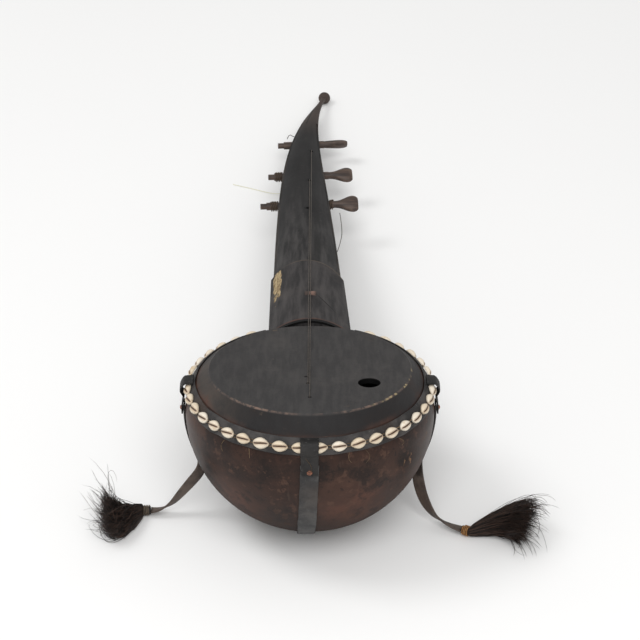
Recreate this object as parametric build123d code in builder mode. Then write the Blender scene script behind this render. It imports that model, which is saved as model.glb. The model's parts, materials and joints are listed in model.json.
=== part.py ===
from build123d import *

import os
from math import acos, asin, atan2, cos, degrees, floor, hypot, pi, radians, sin, sqrt, tan

os.makedirs("parts", exist_ok=True)

# A long-necked gourd lute. Millimetres and degrees. +X is the peg heads' side, +Y runs along the neck to its
# tip, +Z is up. The origin is the middle of the flat that the worn strap rests on, under the gourd.

# Gourd bowl
GOURD_RADIUS = 124.5
GOURD_WALL = 7.0
SHOULDER_RADIUS = 46.0
RIM_ANGLE = 42.4

# Soundboard
TOP_SLOPE = 4.5
BOARD_INSET = 0.1
BOARD_BEVEL = 10.6
BOARD_BACK_BEVEL = 1.4
BOARD_BACK_EDGE = 2.3
BOARD_EASE = 2.4
BOARD_THICKNESS = 6.0
LIP_DEPTH = 5.0
LIP_WIDTH = 7.0
LIP_CLEARANCE = 0.4
SOUND_HOLE_DIAMETER = 22.5
SOUND_HOLE_SIDE = 58.5
SOUND_HOLE_FORWARD = 29.5

# Neck, its cover and its finial
NECK_SINK = 24.5
NECK_LENGTH = 675.0
FOOT_WIDTH = 81.6
NECK_TAPER = 17.8
THROAT_WIDTH = 9.5
FOOT_DEPTH = 30.0
DEPTH_TAPER = 8.0
THROAT_DEPTH = 8.0
NECK_LEAN = 15.0
THROAT_SIDE = 5.0
CAMBER = 0.36
SIDE_SHARE = 0.3
NECK_WALL = 4.5
COVER_SHORT = 47.0
COVER_LAP = 20.0
COVER_REVEAL = 2.5
COVER_THICKNESS = 2.2
COVER_ARCH = 0.16
COVER_SEAT = 0.3
SEAT_GAP = 0.1
FINIAL_LENGTH = 51.0
KNOB_SIDE = 15.4
KNOB_DROP = 3.6
KNOB_RADIUS = 7.3
STALK_WIDTH = 9.0
STALK_DEPTH = 7.0

# Foot of the neck
SADDLE_GAP = 0.3
BOARD_GAP = 4.5
COLLAR_LENGTH = 182.0
COLLAR_GAP = 0.3
COLLAR_WALL = 2.2
ARCH_RADIUS = 45.0
HEEL_LENGTH = 62.0
HEEL_CLEARANCE = 0.2
PIN_DIAMETER = 8.0
PIN_LENGTH = 42.0
PIN_SPREAD = 36.0
PIN_DROP = 13.0
PIN_CLEARANCE = 0.05

# Nut and strings
NUT_REACH = 88.0
NUT_WIDTH = 12.0
NUT_FOOT = 6.0
NUT_EDGE = 2.0
NUT_HEIGHT = 3.6
NUT_SINK = 0.8
NUT_CLEARANCE = 0.1
STRING_DIAMETER = 0.7
STRING_SPACING = 1.9
STRING_LIFT = 1.0
STRING_CLEARANCE = 0.35
STRING_ASIDE = 3.0
STRING_HOLE_DIAMETER = 3.8
FIRST_ANCHOR = 63.0
SECOND_ANCHOR = 30.7
EMPTY_ANCHOR = 15.0
NECK_HOLE_AHEAD = 51.0
TOGGLE_DIAMETER = 4.0
TOGGLE_LENGTH = 14.0

# Pegs and what is wound on them
UPPER_PEG_INSIDE = 28.0
UPPER_PEG_SPACING = 98.0
LOWER_PEG_SPACING = 89.0
UPPER_ROLL = -32.0
MIDDLE_ROLL = 30.0
LOWER_ROLL = 40.0
PEG_DIAMETER = 8.8
PEG_CLEARANCE = 0.05
PEG_DROP = 6.8
PEG_RAKE = 5.0
TAIL_REACH = 18.0
LOWER_TAIL_REACH = 21.5
TAIL_TIP_DIAMETER = 6.6
TAIL_TIP_LENGTH = 7.0
HEAD_STAND = 6.0
HEAD_LENGTH = 28.0
HEAD_WIDTH = 20.5
HEAD_THICKNESS = 9.6
WINDING_GAP = 0.1
WINDING_PITCH = 1.2
WRAP_DIAMETER = 1.4
WRAP_PITCH = 1.9
WRAP_STAND = 1.7

# Leather, shells and rivets
SKIN_GAP = 0.3
LEATHER = 1.8
FLAT_CUT = 0.6
BAND_LOW = 20.0
BAND_HIGH = 41.0
BAND_END_GAP = 2.5
COWRIE_LENGTH = 17.5
COWRIE_WIDTH = 11.5
COWRIE_PITCH = 19.0
COWRIE_ANGLE = 29.0
COWRIE_SLIT = 1.5
COWRIE_SLIT_DEPTH = 1.6
TAB_WIDTH = 18.0
TAB_THICKNESS = 1.6
TAB_HIGH = 40.5
TAB_LOW = -4.0
TAB_TURN = 12.0
TAB_OVER = 1.0
STRAP_WIDTH = 18.0
SIDE_STRAP_WIDTH = 12.0
STRAP_HIGH = 8.0
SIDE_STRAP_LOW = -26.0
STRAP_BACK = -168.0
RIVET_DIAMETER = 3.0
RIVET_HEAD = 5.4
RIVET_DOME = 1.5
RIVET_DEPTH = 5.0
RIVET_CLEARANCE = 0.05

# Free straps, tassels, wire ends and thread
FREE_WIDTH = 11.0
FREE_THICKNESS = 2.0
ROOT_RADIUS = 4.2
ROOT_LENGTH = 9.0
BINDING_DIAMETER = 1.2
BINDING_PITCH = 1.7
TUFTS = 26
TUFT_ROOT = 2.4
TUFT_TIP = 0.4
TUFT_FROM = 0.76
TUFT_SPREAD = 0.14
WIRE_DIAMETER = 0.8
THREAD_DIAMETER = 0.7
CORNER_SHARE = 0.45

# What follows from them. Places along the neck are counted from the gourd's axis. The cover stops short of the
# throat and laps over the hollow's end, and the pegs are spaced back from there.
NECK_START = GOURD_RADIUS - NECK_SINK
THROAT_AT = NECK_START + NECK_LENGTH
COVER_AT = THROAT_AT - COVER_SHORT
HOLLOW_AT = COVER_AT - COVER_LAP
KNOB_AT = THROAT_AT + FINIAL_LENGTH
COLLAR_AT = NECK_START + COLLAR_LENGTH
HEEL_AT = NECK_START + HEEL_LENGTH
NUT_AT = NECK_START + NUT_REACH
UPPER_PEG_AT = HOLLOW_AT - UPPER_PEG_INSIDE
MIDDLE_PEG_AT = UPPER_PEG_AT - UPPER_PEG_SPACING
LOWER_PEG_AT = MIDDLE_PEG_AT - LOWER_PEG_SPACING
SHOULDER_CENTRE = GOURD_RADIUS - SHOULDER_RADIUS
RIM_HEIGHT = SHOULDER_RADIUS * sin(radians(RIM_ANGLE))
RIM_RADIUS = SHOULDER_CENTRE + SHOULDER_RADIUS * cos(radians(RIM_ANGLE))
INNER_SHOULDER = SHOULDER_RADIUS - GOURD_WALL
BORE_ANGLE = degrees(asin(RIM_HEIGHT / INNER_SHOULDER))
RIM_BORE = SHOULDER_CENTRE + INNER_SHOULDER * cos(radians(BORE_ANGLE))
BOARD_RADIUS = RIM_RADIUS - BOARD_INSET
BOARD_HALF_WIDTH = BOARD_RADIUS - BOARD_BEVEL
BOARD_HALF_LENGTH = BOARD_RADIUS - (BOARD_BEVEL + BOARD_BACK_BEVEL) / 2
BOARD_SHIFT = (BOARD_BEVEL - BOARD_BACK_BEVEL) / 2
BOARD_CREST = RIM_HEIGHT + BOARD_BACK_EDGE + (BOARD_SHIFT + BOARD_HALF_LENGTH) * sin(radians(TOP_SLOPE))
LIP_RADIUS = RIM_BORE - LIP_CLEARANCE
HOLLOW_RADIUS = LIP_RADIUS - LIP_WIDTH
REST_HEIGHT = GOURD_RADIUS + SKIN_GAP + LEATHER - FLAT_CUT
STRAP_IN = SHOULDER_RADIUS + SKIN_GAP
STRAP_OUT = STRAP_IN + LEATHER
COLLAR_GROWTH = COLLAR_GAP + COLLAR_WALL
NUT_SEAT = COLLAR_GROWTH - NUT_SINK
STRING_OVER_NUT = NUT_SEAT + NUT_HEIGHT + STRING_DIAMETER / 2 + SEAT_GAP
PEG_RADIUS = PEG_DIAMETER / 2

# The gourd leans so that the finial's knob touches the floor that the strap rests on.
slope = radians(TOP_SLOPE)
knob_ahead = KNOB_AT * cos(slope) - KNOB_DROP * sin(slope)
knob_up = BOARD_CREST - KNOB_AT * sin(slope) - KNOB_DROP * cos(slope)
lean = asin((REST_HEIGHT - KNOB_RADIUS) / hypot(knob_ahead, knob_up)) + atan2(knob_up, knob_ahead)

# BODY has the gourd's axis as its z. TOP is the plane of the board's top and of the neck's crest.
BODY = Plane(origin=(0, 0, REST_HEIGHT), x_dir=(1, 0, 0), z_dir=(0, sin(lean), cos(lean)))
TOP = Plane(
    origin=BODY.from_local_coords((0, 0, BOARD_CREST)),
    x_dir=(1, 0, 0),
    z_dir=(0, sin(lean + slope), cos(lean + slope)),
)
GOURD_AXIS = Axis(BODY.origin, BODY.z_dir)
FRONT, LEFT, RIGHT, BACK = -90.0, 180.0, 0.0, 90.0


def top_point(x, along, up):
    return TOP.from_local_coords((x, along, up))


def meridian(azimuth):
    """The half plane through the gourd's axis: x is the radius and y the height above the widest line."""
    turn = radians(azimuth)
    outward = BODY.x_dir * cos(turn) + BODY.y_dir * sin(turn)
    return Plane(origin=BODY.origin, x_dir=outward, z_dir=outward.cross(BODY.z_dir))


def shoulder_point(radius, angle):
    """A point of a meridian, at a distance and an angle from the shoulder arc's centre."""
    return (SHOULDER_CENTRE + radius * cos(radians(angle)), radius * sin(radians(angle)))


def skin_point(height, angle):
    """A point of a meridian at a height over the gourd's skin, below the widest line where angle is negative."""
    if angle > 0:
        return shoulder_point(SHOULDER_RADIUS + height, angle)
    reach = GOURD_RADIUS + height
    return (reach * cos(radians(angle)), reach * sin(radians(angle)))


def skin_arcs(height, high, low):
    """The line at a height over the gourd's skin, from an angle on the shoulder down to one on the sphere."""
    ThreePointArc(skin_point(height, high), skin_point(height, high / 2), skin_point(height, 0))
    ThreePointArc(skin_point(height, 0), skin_point(height, low / 2), skin_point(height, low))


# Neck sections, as shares of the way from the neck's start to its throat


def share(along):
    return (along - NECK_START) / (THROAT_AT - NECK_START)


def along_neck(part):
    return NECK_START + part * (THROAT_AT - NECK_START)


def half_width(part):
    flare = FOOT_WIDTH / 2 - NECK_TAPER - THROAT_WIDTH / 2
    return FOOT_WIDTH / 2 - NECK_TAPER * part - flare * part**4


def neck_centre(part):
    return (NECK_LEAN + THROAT_SIDE) * part**8 - NECK_LEAN * part


def camber_rise(part):
    return CAMBER * half_width(part)


def neck_depth(part):
    return FOOT_DEPTH - DEPTH_TAPER * part - (FOOT_DEPTH - DEPTH_TAPER - THROAT_DEPTH) * part**6


def station(along):
    """The plane across the neck: x as in the world, y up from the crest."""
    return Plane(origin=top_point(0, along, 0), x_dir=(1, 0, 0), z_dir=-TOP.y_dir)


def closed_section(along, centre, half, crest, rim, side, keel):
    """A cambered front over two straight sides and a round back."""
    with BuildSketch(station(along)) as section:
        with BuildLine():
            ThreePointArc((centre - half, rim), (centre, crest), (centre + half, rim))
            Line((centre + half, rim), (centre + half, side))
            ThreePointArc((centre + half, side), (centre, keel), (centre - half, side))
            Line((centre - half, side), (centre - half, rim))
        make_face()
    return section.sketch


def neck_section(part, growth=0.0):
    """The neck's whole outline, grown all round."""
    rim = -camber_rise(part)
    depth = neck_depth(part)
    return closed_section(
        along_neck(part),
        neck_centre(part),
        half_width(part) + growth,
        growth,
        rim + growth * SIDE_SHARE,
        rim - SIDE_SHARE * depth,
        rim - depth - growth,
    )


def stalk_section(growth):
    """The finial's end, inside the knob."""
    rim = -KNOB_DROP + STALK_DEPTH * SIDE_SHARE
    return closed_section(
        KNOB_AT,
        KNOB_SIDE,
        STALK_WIDTH / 2 + growth,
        -KNOB_DROP + STALK_DEPTH / 2 + growth,
        rim + growth * SIDE_SHARE,
        rim - SIDE_SHARE * STALK_DEPTH,
        -KNOB_DROP - STALK_DEPTH / 2 - growth,
    )


def whole_neck(growth=0.0):
    """Sections from the foot to the knob, all grown by the same amount."""
    parts = (0, 0.1, 0.2, 0.3, 0.4, 0.55, 0.7, 0.8, 0.88, 0.95, 1.0)
    return [neck_section(part, growth) for part in parts] + [stalk_section(growth)]


def cover_space(part):
    """All that lies above the trough's rim."""
    centre = neck_centre(part)
    half = half_width(part) + COLLAR_GROWTH
    rim = -camber_rise(part) - COVER_SEAT
    with BuildSketch(station(along_neck(part))) as section:
        with Locations((centre, rim)):
            Rectangle(2 * half, FOOT_DEPTH, align=(Align.CENTER, Align.MIN))
    return section.sketch


def trough_section(part, inset, top):
    """The trough's inside, from a height over its rim down to its round floor."""
    centre = neck_centre(part)
    half = half_width(part) - inset
    rim = -camber_rise(part) - COVER_SEAT
    depth = neck_depth(part)
    side = rim - SIDE_SHARE * depth
    floor_height = rim - depth + inset
    with BuildSketch(station(along_neck(part))) as section:
        with BuildLine():
            Line((centre - half, rim + top), (centre + half, rim + top))
            Line((centre + half, rim + top), (centre + half, side))
            ThreePointArc((centre + half, side), (centre, floor_height), (centre - half, side))
            Line((centre - half, side), (centre - half, rim + top))
        make_face()
    return section.sketch


def cover_section(part):
    """The cambered cover, narrower than the neck by the reveal, with a flat seat on each rim."""
    centre = neck_centre(part)
    half = half_width(part)
    rise = camber_rise(part)
    radius = (half**2 + rise**2) / (2 * rise)
    edge = half - COVER_REVEAL
    edge_height = sqrt(radius**2 - edge**2) - radius
    seat = SEAT_GAP - rise - COVER_SEAT
    inner = half - NECK_WALL
    ceiling = -COVER_THICKNESS - COVER_ARCH * rise
    with BuildSketch(station(along_neck(part))) as section:
        with BuildLine():
            ThreePointArc((centre - edge, edge_height), (centre, 0), (centre + edge, edge_height))
            Line((centre + edge, edge_height), (centre + edge, seat))
            Line((centre + edge, seat), (centre + inner, seat))
            ThreePointArc((centre + inner, seat), (centre, ceiling), (centre - inner, seat))
            Line((centre - inner, seat), (centre - edge, seat))
            Line((centre - edge, seat), (centre - edge, edge_height))
        make_face()
    return section.sketch


def shares_to(end, steps):
    """Shares from the neck's start to an end, closer together towards it."""
    return [share(end) * (1 - (1 - step / steps) ** 1.5) for step in range(steps + 1)]


# Pegs


class Peg:
    """A peg's place: its own plane has z along the peg to its head and x across the head's flat."""

    def __init__(self, along, roll, tail_reach):
        part = share(along)
        self.half = half_width(part)
        self.drop = camber_rise(part) + PEG_DROP
        self.along = along
        self.tail = self.half + tail_reach
        self.head = self.half + HEAD_STAND
        rake = radians(PEG_RAKE)
        turn = radians(roll)
        self.axis = TOP.x_dir * cos(rake) + TOP.y_dir * sin(rake)
        across = TOP.z_dir.cross(self.axis) * cos(turn) + TOP.z_dir * sin(turn)
        self.middle = top_point(neck_centre(part), along, -self.drop)
        self.plane = Plane(origin=self.middle, x_dir=across, z_dir=self.axis)

    def reach_to(self, side):
        """How far along the peg a place across the neck is."""
        return (side - neck_centre(share(self.along))) / cos(radians(PEG_RAKE))


UPPER = Peg(UPPER_PEG_AT, UPPER_ROLL, TAIL_REACH)
MIDDLE = Peg(MIDDLE_PEG_AT, MIDDLE_ROLL, TAIL_REACH)
LOWER = Peg(LOWER_PEG_AT, LOWER_ROLL, LOWER_TAIL_REACH)


def head_sections(peg):
    """The paddle head: a round neck that widens, thins towards its edge and closes in a rounded end."""
    steps = ((0.0, 0.4, 0.84), (0.28, 0.5, 0.96), (0.6, 0.9, 1.0), (0.82, 1.0, 0.92), (1.0, 0.68, 0.6))
    sections = []
    for reach, width, thickness in steps:
        with BuildSketch(peg.plane.offset(peg.head + reach * HEAD_LENGTH)) as section:
            Ellipse(width * HEAD_WIDTH / 2, thickness * HEAD_THICKNESS / 2)
        sections.append(section.sketch)
    return sections


def peg_solid(peg):
    with BuildPart() as solid:
        with BuildSketch(peg.plane.offset(-peg.tail)):
            Circle(TAIL_TIP_DIAMETER / 2)
        extrude(amount=TAIL_TIP_LENGTH)
        with BuildSketch(peg.plane.offset(TAIL_TIP_LENGTH - peg.tail)):
            Circle(PEG_RADIUS)
        extrude(amount=peg.tail - TAIL_TIP_LENGTH + peg.head)
        loft(sections=head_sections(peg))
    return solid.part


# Cords, windings and tufts


def biarc(start, leaving, end, arriving):
    """Two arcs that meet in one tangent and join two points in the directions given there."""
    span = end - start
    both = leaving + arriving
    bend = 1 - leaving.dot(arriving)
    across = span.dot(both)
    reach = (sqrt(across**2 + 2 * bend * span.dot(span)) - across) / (2 * bend)
    joint = (start + end + (leaving - arriving) * reach) / 2
    turning = (end - arriving * reach) - (start + leaving * reach)
    TangentArc(start, joint, tangent=leaving)
    TangentArc(joint, end, tangent=turning.normalized())


def winding(name, place, radius, wire, pitch, turns):
    """A helix of quarter turns about a plane's z, with a short straight run at each end, as a six-sided tube."""
    climb = pitch / (2 * pi)

    def spot(angle):
        return place.from_local_coords((radius * cos(angle), radius * sin(angle), climb * angle))

    def heading(angle):
        away = Vector(-radius * sin(angle), radius * cos(angle), climb).normalized()
        return place.x_dir * away.X + place.y_dir * away.Y + place.z_dir * away.Z

    quarters = [quarter * pi / 2 for quarter in range(4 * turns + 1)]
    first, last = quarters[0], quarters[-1]
    begin = spot(first) - heading(first) * wire
    with BuildLine() as line:
        Line(begin, spot(first))
        for one, two in zip(quarters, quarters[1:]):
            biarc(spot(one), heading(one), spot(two), heading(two))
        Line(spot(last), spot(last) + heading(last) * wire)
    with BuildPart() as tube:
        with BuildSketch(Plane(origin=begin, x_dir=place.z_dir, z_dir=heading(first))) as section:
            RegularPolygon(wire / 2, 6)
        sweep(sections=section.sketch, path=line.wires()[0], clean=False)
    samples = [line.wires()[0].position_at(step / (24 * turns)) for step in range(24 * turns + 1)]
    pairs = [(a, b) for i, a in enumerate(samples) for b in samples[i + 13:]]
    gap = min((a - b).length for a, b in pairs) - wire
    print(f"{name}: {turns} turns, least gap to itself {gap:.2f} mm, volume {tube.part.volume:.1f}")
    return tube.part


def rounded_route(points):
    """Straight runs between the points, with an arc at each corner that takes its share of the shorter run."""
    spots = [Vector(*point) for point in points]
    radii = []
    at = spots[0]
    with BuildLine() as line:
        for before, corner, after in zip(spots, spots[1:], spots[2:]):
            reach = CORNER_SHARE * min((corner - before).length, (after - corner).length)
            start = corner + (before - corner).normalized() * reach
            end = corner + (after - corner).normalized() * reach
            Line(at, start)
            TangentArc(start, end, tangent=(corner - before).normalized())
            turn = radians((corner - before).get_angle(after - corner))
            radii.append(reach / tan(turn / 2))
            at = end
        Line(at, spots[-1])
    return line.wires()[0], radii


def tube_along(name, points, diameter):
    path, radii = rounded_route(points)
    heading = Vector(*points[1]) - Vector(*points[0])
    with BuildPart() as tube:
        with BuildSketch(Plane(origin=points[0], z_dir=heading)) as section:
            Circle(diameter / 2)
        sweep(sections=section.sketch, path=path)
    report_cord(name, path, radii, tube.part.volume, section.sketch.area)
    return tube.part


def ribbon_along(name, points, across):
    """A flat strap along a route, its width along the given direction."""
    path, radii = rounded_route(points)
    heading = Vector(*points[1]) - Vector(*points[0])
    with BuildPart() as ribbon:
        with BuildSketch(Plane(origin=points[0], x_dir=across, z_dir=heading)) as section:
            Rectangle(FREE_WIDTH, FREE_THICKNESS)
        sweep(sections=section.sketch, path=path)
    report_cord(name, path, radii, ribbon.part.volume, section.sketch.area)
    return ribbon.part


def report_cord(name, path, radii, volume, area):
    bends = ", ".join(f"{radius:.1f}" for radius in radii)
    share_filled = volume / (area * path.length)
    print(f"{name}: length {path.length:.1f}, bends {bends}, volume over section by length {share_filled:.3f}")


def finish(part, name):
    part.label = name
    export_step(part, f"parts/{name}.step")


# Gourd bowl: a hollow revolve, with two pin holes at the back and a hole for each rivet


def pin_places():
    """Where each heel pin starts, inside the bowl, pointing along the neck."""
    back = GOURD_RADIUS - GOURD_WALL - PIN_DIAMETER
    height = -camber_rise(share(HEEL_AT)) - PIN_DROP
    sides = (-PIN_SPREAD / 2, PIN_SPREAD / 2)
    return [Plane(top_point(side, back, height), x_dir=(1, 0, 0), z_dir=TOP.y_dir) for side in sides]


def rivet_places():
    """Where each rivet ends, in the bowl's wall, pointing out."""
    places = []
    for azimuth in (FRONT, LEFT, RIGHT):
        plane = meridian(azimuth)
        foot = plane.from_local_coords((GOURD_RADIUS - RIVET_DEPTH, 0, 0))
        places.append(Plane(foot, x_dir=plane.z_dir, z_dir=plane.x_dir))
    return places


def cut_pin_holes():
    with Locations(*pin_places()):
        low = (Align.CENTER, Align.CENTER, Align.MIN)
        Cylinder(PIN_DIAMETER / 2 + PIN_CLEARANCE, PIN_LENGTH + PIN_CLEARANCE, align=low, mode=Mode.SUBTRACT)


def cut_rivet_holes():
    with Locations(*rivet_places()):
        low = (Align.CENTER, Align.CENTER, Align.MIN)
        Cylinder(RIVET_DIAMETER / 2 + RIVET_CLEARANCE, 3 * RIVET_DEPTH, align=low, mode=Mode.SUBTRACT)


with BuildPart() as gourd_bowl:
    with BuildSketch(meridian(RIGHT)):
        with BuildLine():
            inner = GOURD_RADIUS - GOURD_WALL
            skin_arcs(0, RIM_ANGLE, -90)
            Line((0, -GOURD_RADIUS), (0, -inner))
            ThreePointArc((0, -inner), (inner * cos(pi / 4), -inner * sin(pi / 4)), (inner, 0))
            mid_bore = shoulder_point(INNER_SHOULDER, BORE_ANGLE / 2)
            ThreePointArc((inner, 0), mid_bore, (RIM_BORE, RIM_HEIGHT))
            Line((RIM_BORE, RIM_HEIGHT), (RIM_RADIUS, RIM_HEIGHT))
        make_face()
    revolve(axis=GOURD_AXIS)
    cut_pin_holes()
    cut_rivet_holes()
finish(gourd_bowl.part, "gourd_bowl")

# Soundboard: a bevelled lid, hollowed from below, with a lip inside the rim, a sound hole and string holes
with BuildPart() as board_hollow:
    with BuildSketch(BODY.offset(RIM_HEIGHT - LIP_DEPTH)):
        Circle(HOLLOW_RADIUS)
    extrude(amount=BOARD_CREST)
    split(bisect_by=TOP.offset(-BOARD_THICKNESS), keep=Keep.BOTTOM)

with BuildPart() as soundboard:
    with BuildSketch(BODY.offset(RIM_HEIGHT)):
        Circle(BOARD_RADIUS)
    with BuildSketch(TOP.offset(-BOARD_EASE)):
        with Locations((0, BOARD_SHIFT)):
            Ellipse(BOARD_HALF_WIDTH + BOARD_EASE / 2, BOARD_HALF_LENGTH + BOARD_EASE / 4)
    with BuildSketch(TOP):
        with Locations((0, BOARD_SHIFT)):
            Ellipse(BOARD_HALF_WIDTH - BOARD_EASE / 2, BOARD_HALF_LENGTH - BOARD_EASE / 2)
    loft(ruled=True)
    with BuildSketch(BODY.offset(RIM_HEIGHT - LIP_DEPTH)):
        Circle(LIP_RADIUS)
    extrude(amount=LIP_DEPTH)
    add(board_hollow.part, mode=Mode.SUBTRACT)
    with BuildSketch(TOP):
        with Locations((SOUND_HOLE_SIDE, -SOUND_HOLE_FORWARD)):
            Circle(SOUND_HOLE_DIAMETER / 2)
        with Locations((0, -FIRST_ANCHOR), (-STRING_SPACING, -SECOND_ANCHOR), (-2 * STRING_SPACING, -EMPTY_ANCHOR)):
            Circle(STRING_HOLE_DIAMETER / 2)
    extrude(amount=-2 * BOARD_THICKNESS, mode=Mode.SUBTRACT)
finish(soundboard.part, "soundboard")

# What the neck's foot keeps clear of: the bowl's skin, and a round gap behind the board
with BuildPart() as saddle:
    with BuildSketch(meridian(RIGHT)):
        with BuildLine():
            wall = RIM_RADIUS + BOARD_GAP
            wall_angle = degrees(acos((wall - SHOULDER_CENTRE) / (SHOULDER_RADIUS + SADDLE_GAP)))
            skin_arcs(SADDLE_GAP, wall_angle, -90)
            Line(skin_point(SADDLE_GAP, wall_angle), (wall, BOARD_CREST + FOOT_DEPTH))
            Line((wall, BOARD_CREST + FOOT_DEPTH), (0, BOARD_CREST + FOOT_DEPTH))
            Line((0, BOARD_CREST + FOOT_DEPTH), skin_point(SADDLE_GAP, -90))
        make_face()
    revolve(axis=GOURD_AXIS)

# Neck back: a hollow trough with peg holes, solid from the throat to the knob
with BuildPart() as neck_back:
    loft(sections=whole_neck())
    with Locations(top_point(KNOB_SIDE, KNOB_AT, -KNOB_DROP)):
        Sphere(KNOB_RADIUS)
    loft(sections=[cover_space(part) for part in shares_to(COVER_AT, 7)], mode=Mode.SUBTRACT)
    hollow = [trough_section(part, NECK_WALL, COVER_SEAT) for part in shares_to(HOLLOW_AT, 7)]
    loft(sections=hollow, mode=Mode.SUBTRACT)
    for peg in (UPPER, MIDDLE, LOWER):
        with Locations(peg.plane):
            Cylinder(PEG_RADIUS + PEG_CLEARANCE, 2 * peg.head, mode=Mode.SUBTRACT)
    add(saddle.part, mode=Mode.SUBTRACT)
finish(neck_back.part, "neck_back")

# Neck front: the cambered cover over the trough, with a string hole ahead of each peg
neck_holes = [
    (0, UPPER_PEG_AT - NECK_HOLE_AHEAD),
    (-STRING_SPACING, MIDDLE_PEG_AT - NECK_HOLE_AHEAD),
    (-2 * STRING_SPACING, LOWER_PEG_AT - NECK_HOLE_AHEAD),
]
with BuildPart() as neck_front:
    loft(sections=[cover_section(part) for part in shares_to(COVER_AT - SADDLE_GAP, 7)])
    with BuildSketch(TOP.offset(STRING_LIFT)):
        with Locations(*neck_holes):
            Circle(STRING_HOLE_DIAMETER / 2)
    extrude(amount=-2 * NECK_WALL, mode=Mode.SUBTRACT)
    add(saddle.part, mode=Mode.SUBTRACT)
finish(neck_front.part, "neck_front")

# Neck collar: a thin sleeve round the foot, with an arched end and a slot for the nut
with BuildPart() as neck_collar:
    loft(sections=whole_neck(COLLAR_GROWTH))
    loft(sections=whole_neck(COLLAR_GAP), mode=Mode.SUBTRACT)
    with BuildSketch(TOP):
        with Locations((neck_centre(share(COLLAR_AT)), COLLAR_AT - ARCH_RADIUS)):
            Rectangle(2 * FOOT_WIDTH, THROAT_AT, align=(Align.CENTER, Align.MIN))
            Circle(ARCH_RADIUS, mode=Mode.SUBTRACT)
    extrude(amount=2 * FOOT_DEPTH, both=True, mode=Mode.SUBTRACT)
    with BuildSketch(TOP.offset(NUT_SEAT)):
        with Locations((0, NUT_AT)):
            Rectangle(NUT_WIDTH + 2 * NUT_CLEARANCE, NUT_FOOT + 2 * NUT_CLEARANCE)
    extrude(amount=NUT_HEIGHT, mode=Mode.SUBTRACT)
    add(saddle.part, mode=Mode.SUBTRACT)
finish(neck_collar.part, "neck_collar")

# Nut: a wedge that lifts the strings off the collar
with BuildPart() as nut:
    with BuildSketch(Plane(top_point(-NUT_WIDTH / 2, NUT_AT, NUT_SEAT), x_dir=TOP.y_dir, z_dir=TOP.x_dir)):
        with BuildLine():
            foot, edge = NUT_FOOT / 2, NUT_EDGE / 2
            Polyline((-foot, 0), (foot, 0), (edge, NUT_HEIGHT), (-edge, NUT_HEIGHT), close=True)
        make_face()
    extrude(amount=NUT_WIDTH)
finish(nut.part, "nut")

# Heel block and its pins, which hold the neck to the bowl
with BuildPart() as heel_block:
    inset = NECK_WALL + HEEL_CLEARANCE
    loft(sections=[trough_section(part, inset, -HEEL_CLEARANCE) for part in (0, share(HEEL_AT))])
    add(saddle.part, mode=Mode.SUBTRACT)
    cut_pin_holes()
finish(heel_block.part, "heel_block")

with BuildPart() as heel_pins:
    with Locations(*pin_places()):
        Cylinder(PIN_DIAMETER / 2, PIN_LENGTH, align=(Align.CENTER, Align.CENTER, Align.MIN))
finish(heel_pins.part, "heel_pins")

# Pegs
for name, peg in (("peg_upper", UPPER), ("peg_middle", MIDDLE), ("peg_lower", LOWER)):
    finish(peg_solid(peg), name)
    at = tuple(round(value / 1000, 6) for value in peg.middle)
    axis = tuple(round(value, 6) for value in peg.axis)
    print(f"{name}: joint at {at} m, axis {axis}, head at {peg.head:.1f}, tail at {peg.tail:.1f}")

# String windings inside the neck, and the wrappings on the middle and lower pegs
string_radius = PEG_RADIUS + WINDING_GAP + STRING_DIAMETER / 2
wrap_radius = PEG_RADIUS + WINDING_GAP + WRAP_DIAMETER / 2
for name, peg, side in (("winding_upper", UPPER, 0), ("winding_middle", MIDDLE, -STRING_SPACING)):
    turns = 5
    place = peg.plane.offset(peg.reach_to(side - STRING_ASIDE) - turns * WINDING_PITCH)
    finish(winding(name, place, string_radius, STRING_DIAMETER, WINDING_PITCH, turns), name)
wraps = (
    ("wrap_middle_tail", MIDDLE, -1, 4),
    ("wrap_lower_tail", LOWER, -1, 4),
    ("wrap_lower_head", LOWER, 1, 2),
)
for name, peg, side, turns in wraps:
    length = turns * WRAP_PITCH
    low = peg.half + WRAP_STAND if side > 0 else -peg.half - WRAP_STAND - length
    finish(winding(name, peg.plane.offset(low), wrap_radius, WRAP_DIAMETER, WRAP_PITCH, turns), name)

# Strings: from a toggle under the board, over the nut, through the neck's cover and down to their peg
strings = (
    ("string_first", 0, -FIRST_ANCHOR, UPPER),
    ("string_second", -STRING_SPACING, -SECOND_ANCHOR, MIDDLE),
)
for name, side, anchor, peg in strings:
    hole = peg.along - NECK_HOLE_AHEAD
    over_peg = string_radius + STRING_DIAMETER + STRING_CLEARANCE - peg.drop
    points = [
        top_point(side, anchor, -BOARD_THICKNESS),
        top_point(side, anchor, STRING_LIFT),
        top_point(side, NUT_AT - NUT_FOOT, STRING_OVER_NUT),
        top_point(side, NUT_AT + NUT_FOOT, STRING_OVER_NUT),
        top_point(side, hole + STRING_DIAMETER, STRING_LIFT),
        top_point(side, hole + STRING_LIFT, -COVER_THICKNESS - NECK_WALL),
        top_point(side - STRING_ASIDE, peg.along, over_peg),
    ]
    finish(tube_along(name, points, STRING_DIAMETER), name)

with BuildPart() as string_toggles:
    for side, anchor in ((0, -FIRST_ANCHOR), (-STRING_SPACING, -SECOND_ANCHOR)):
        height = -BOARD_THICKNESS - TOGGLE_DIAMETER / 2 - SEAT_GAP
        with Locations(Plane(top_point(side, anchor, height), x_dir=TOP.y_dir, z_dir=TOP.x_dir)):
            Cylinder(TOGGLE_DIAMETER / 2, TOGGLE_LENGTH)
finish(string_toggles.part, "string_toggles")

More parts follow.
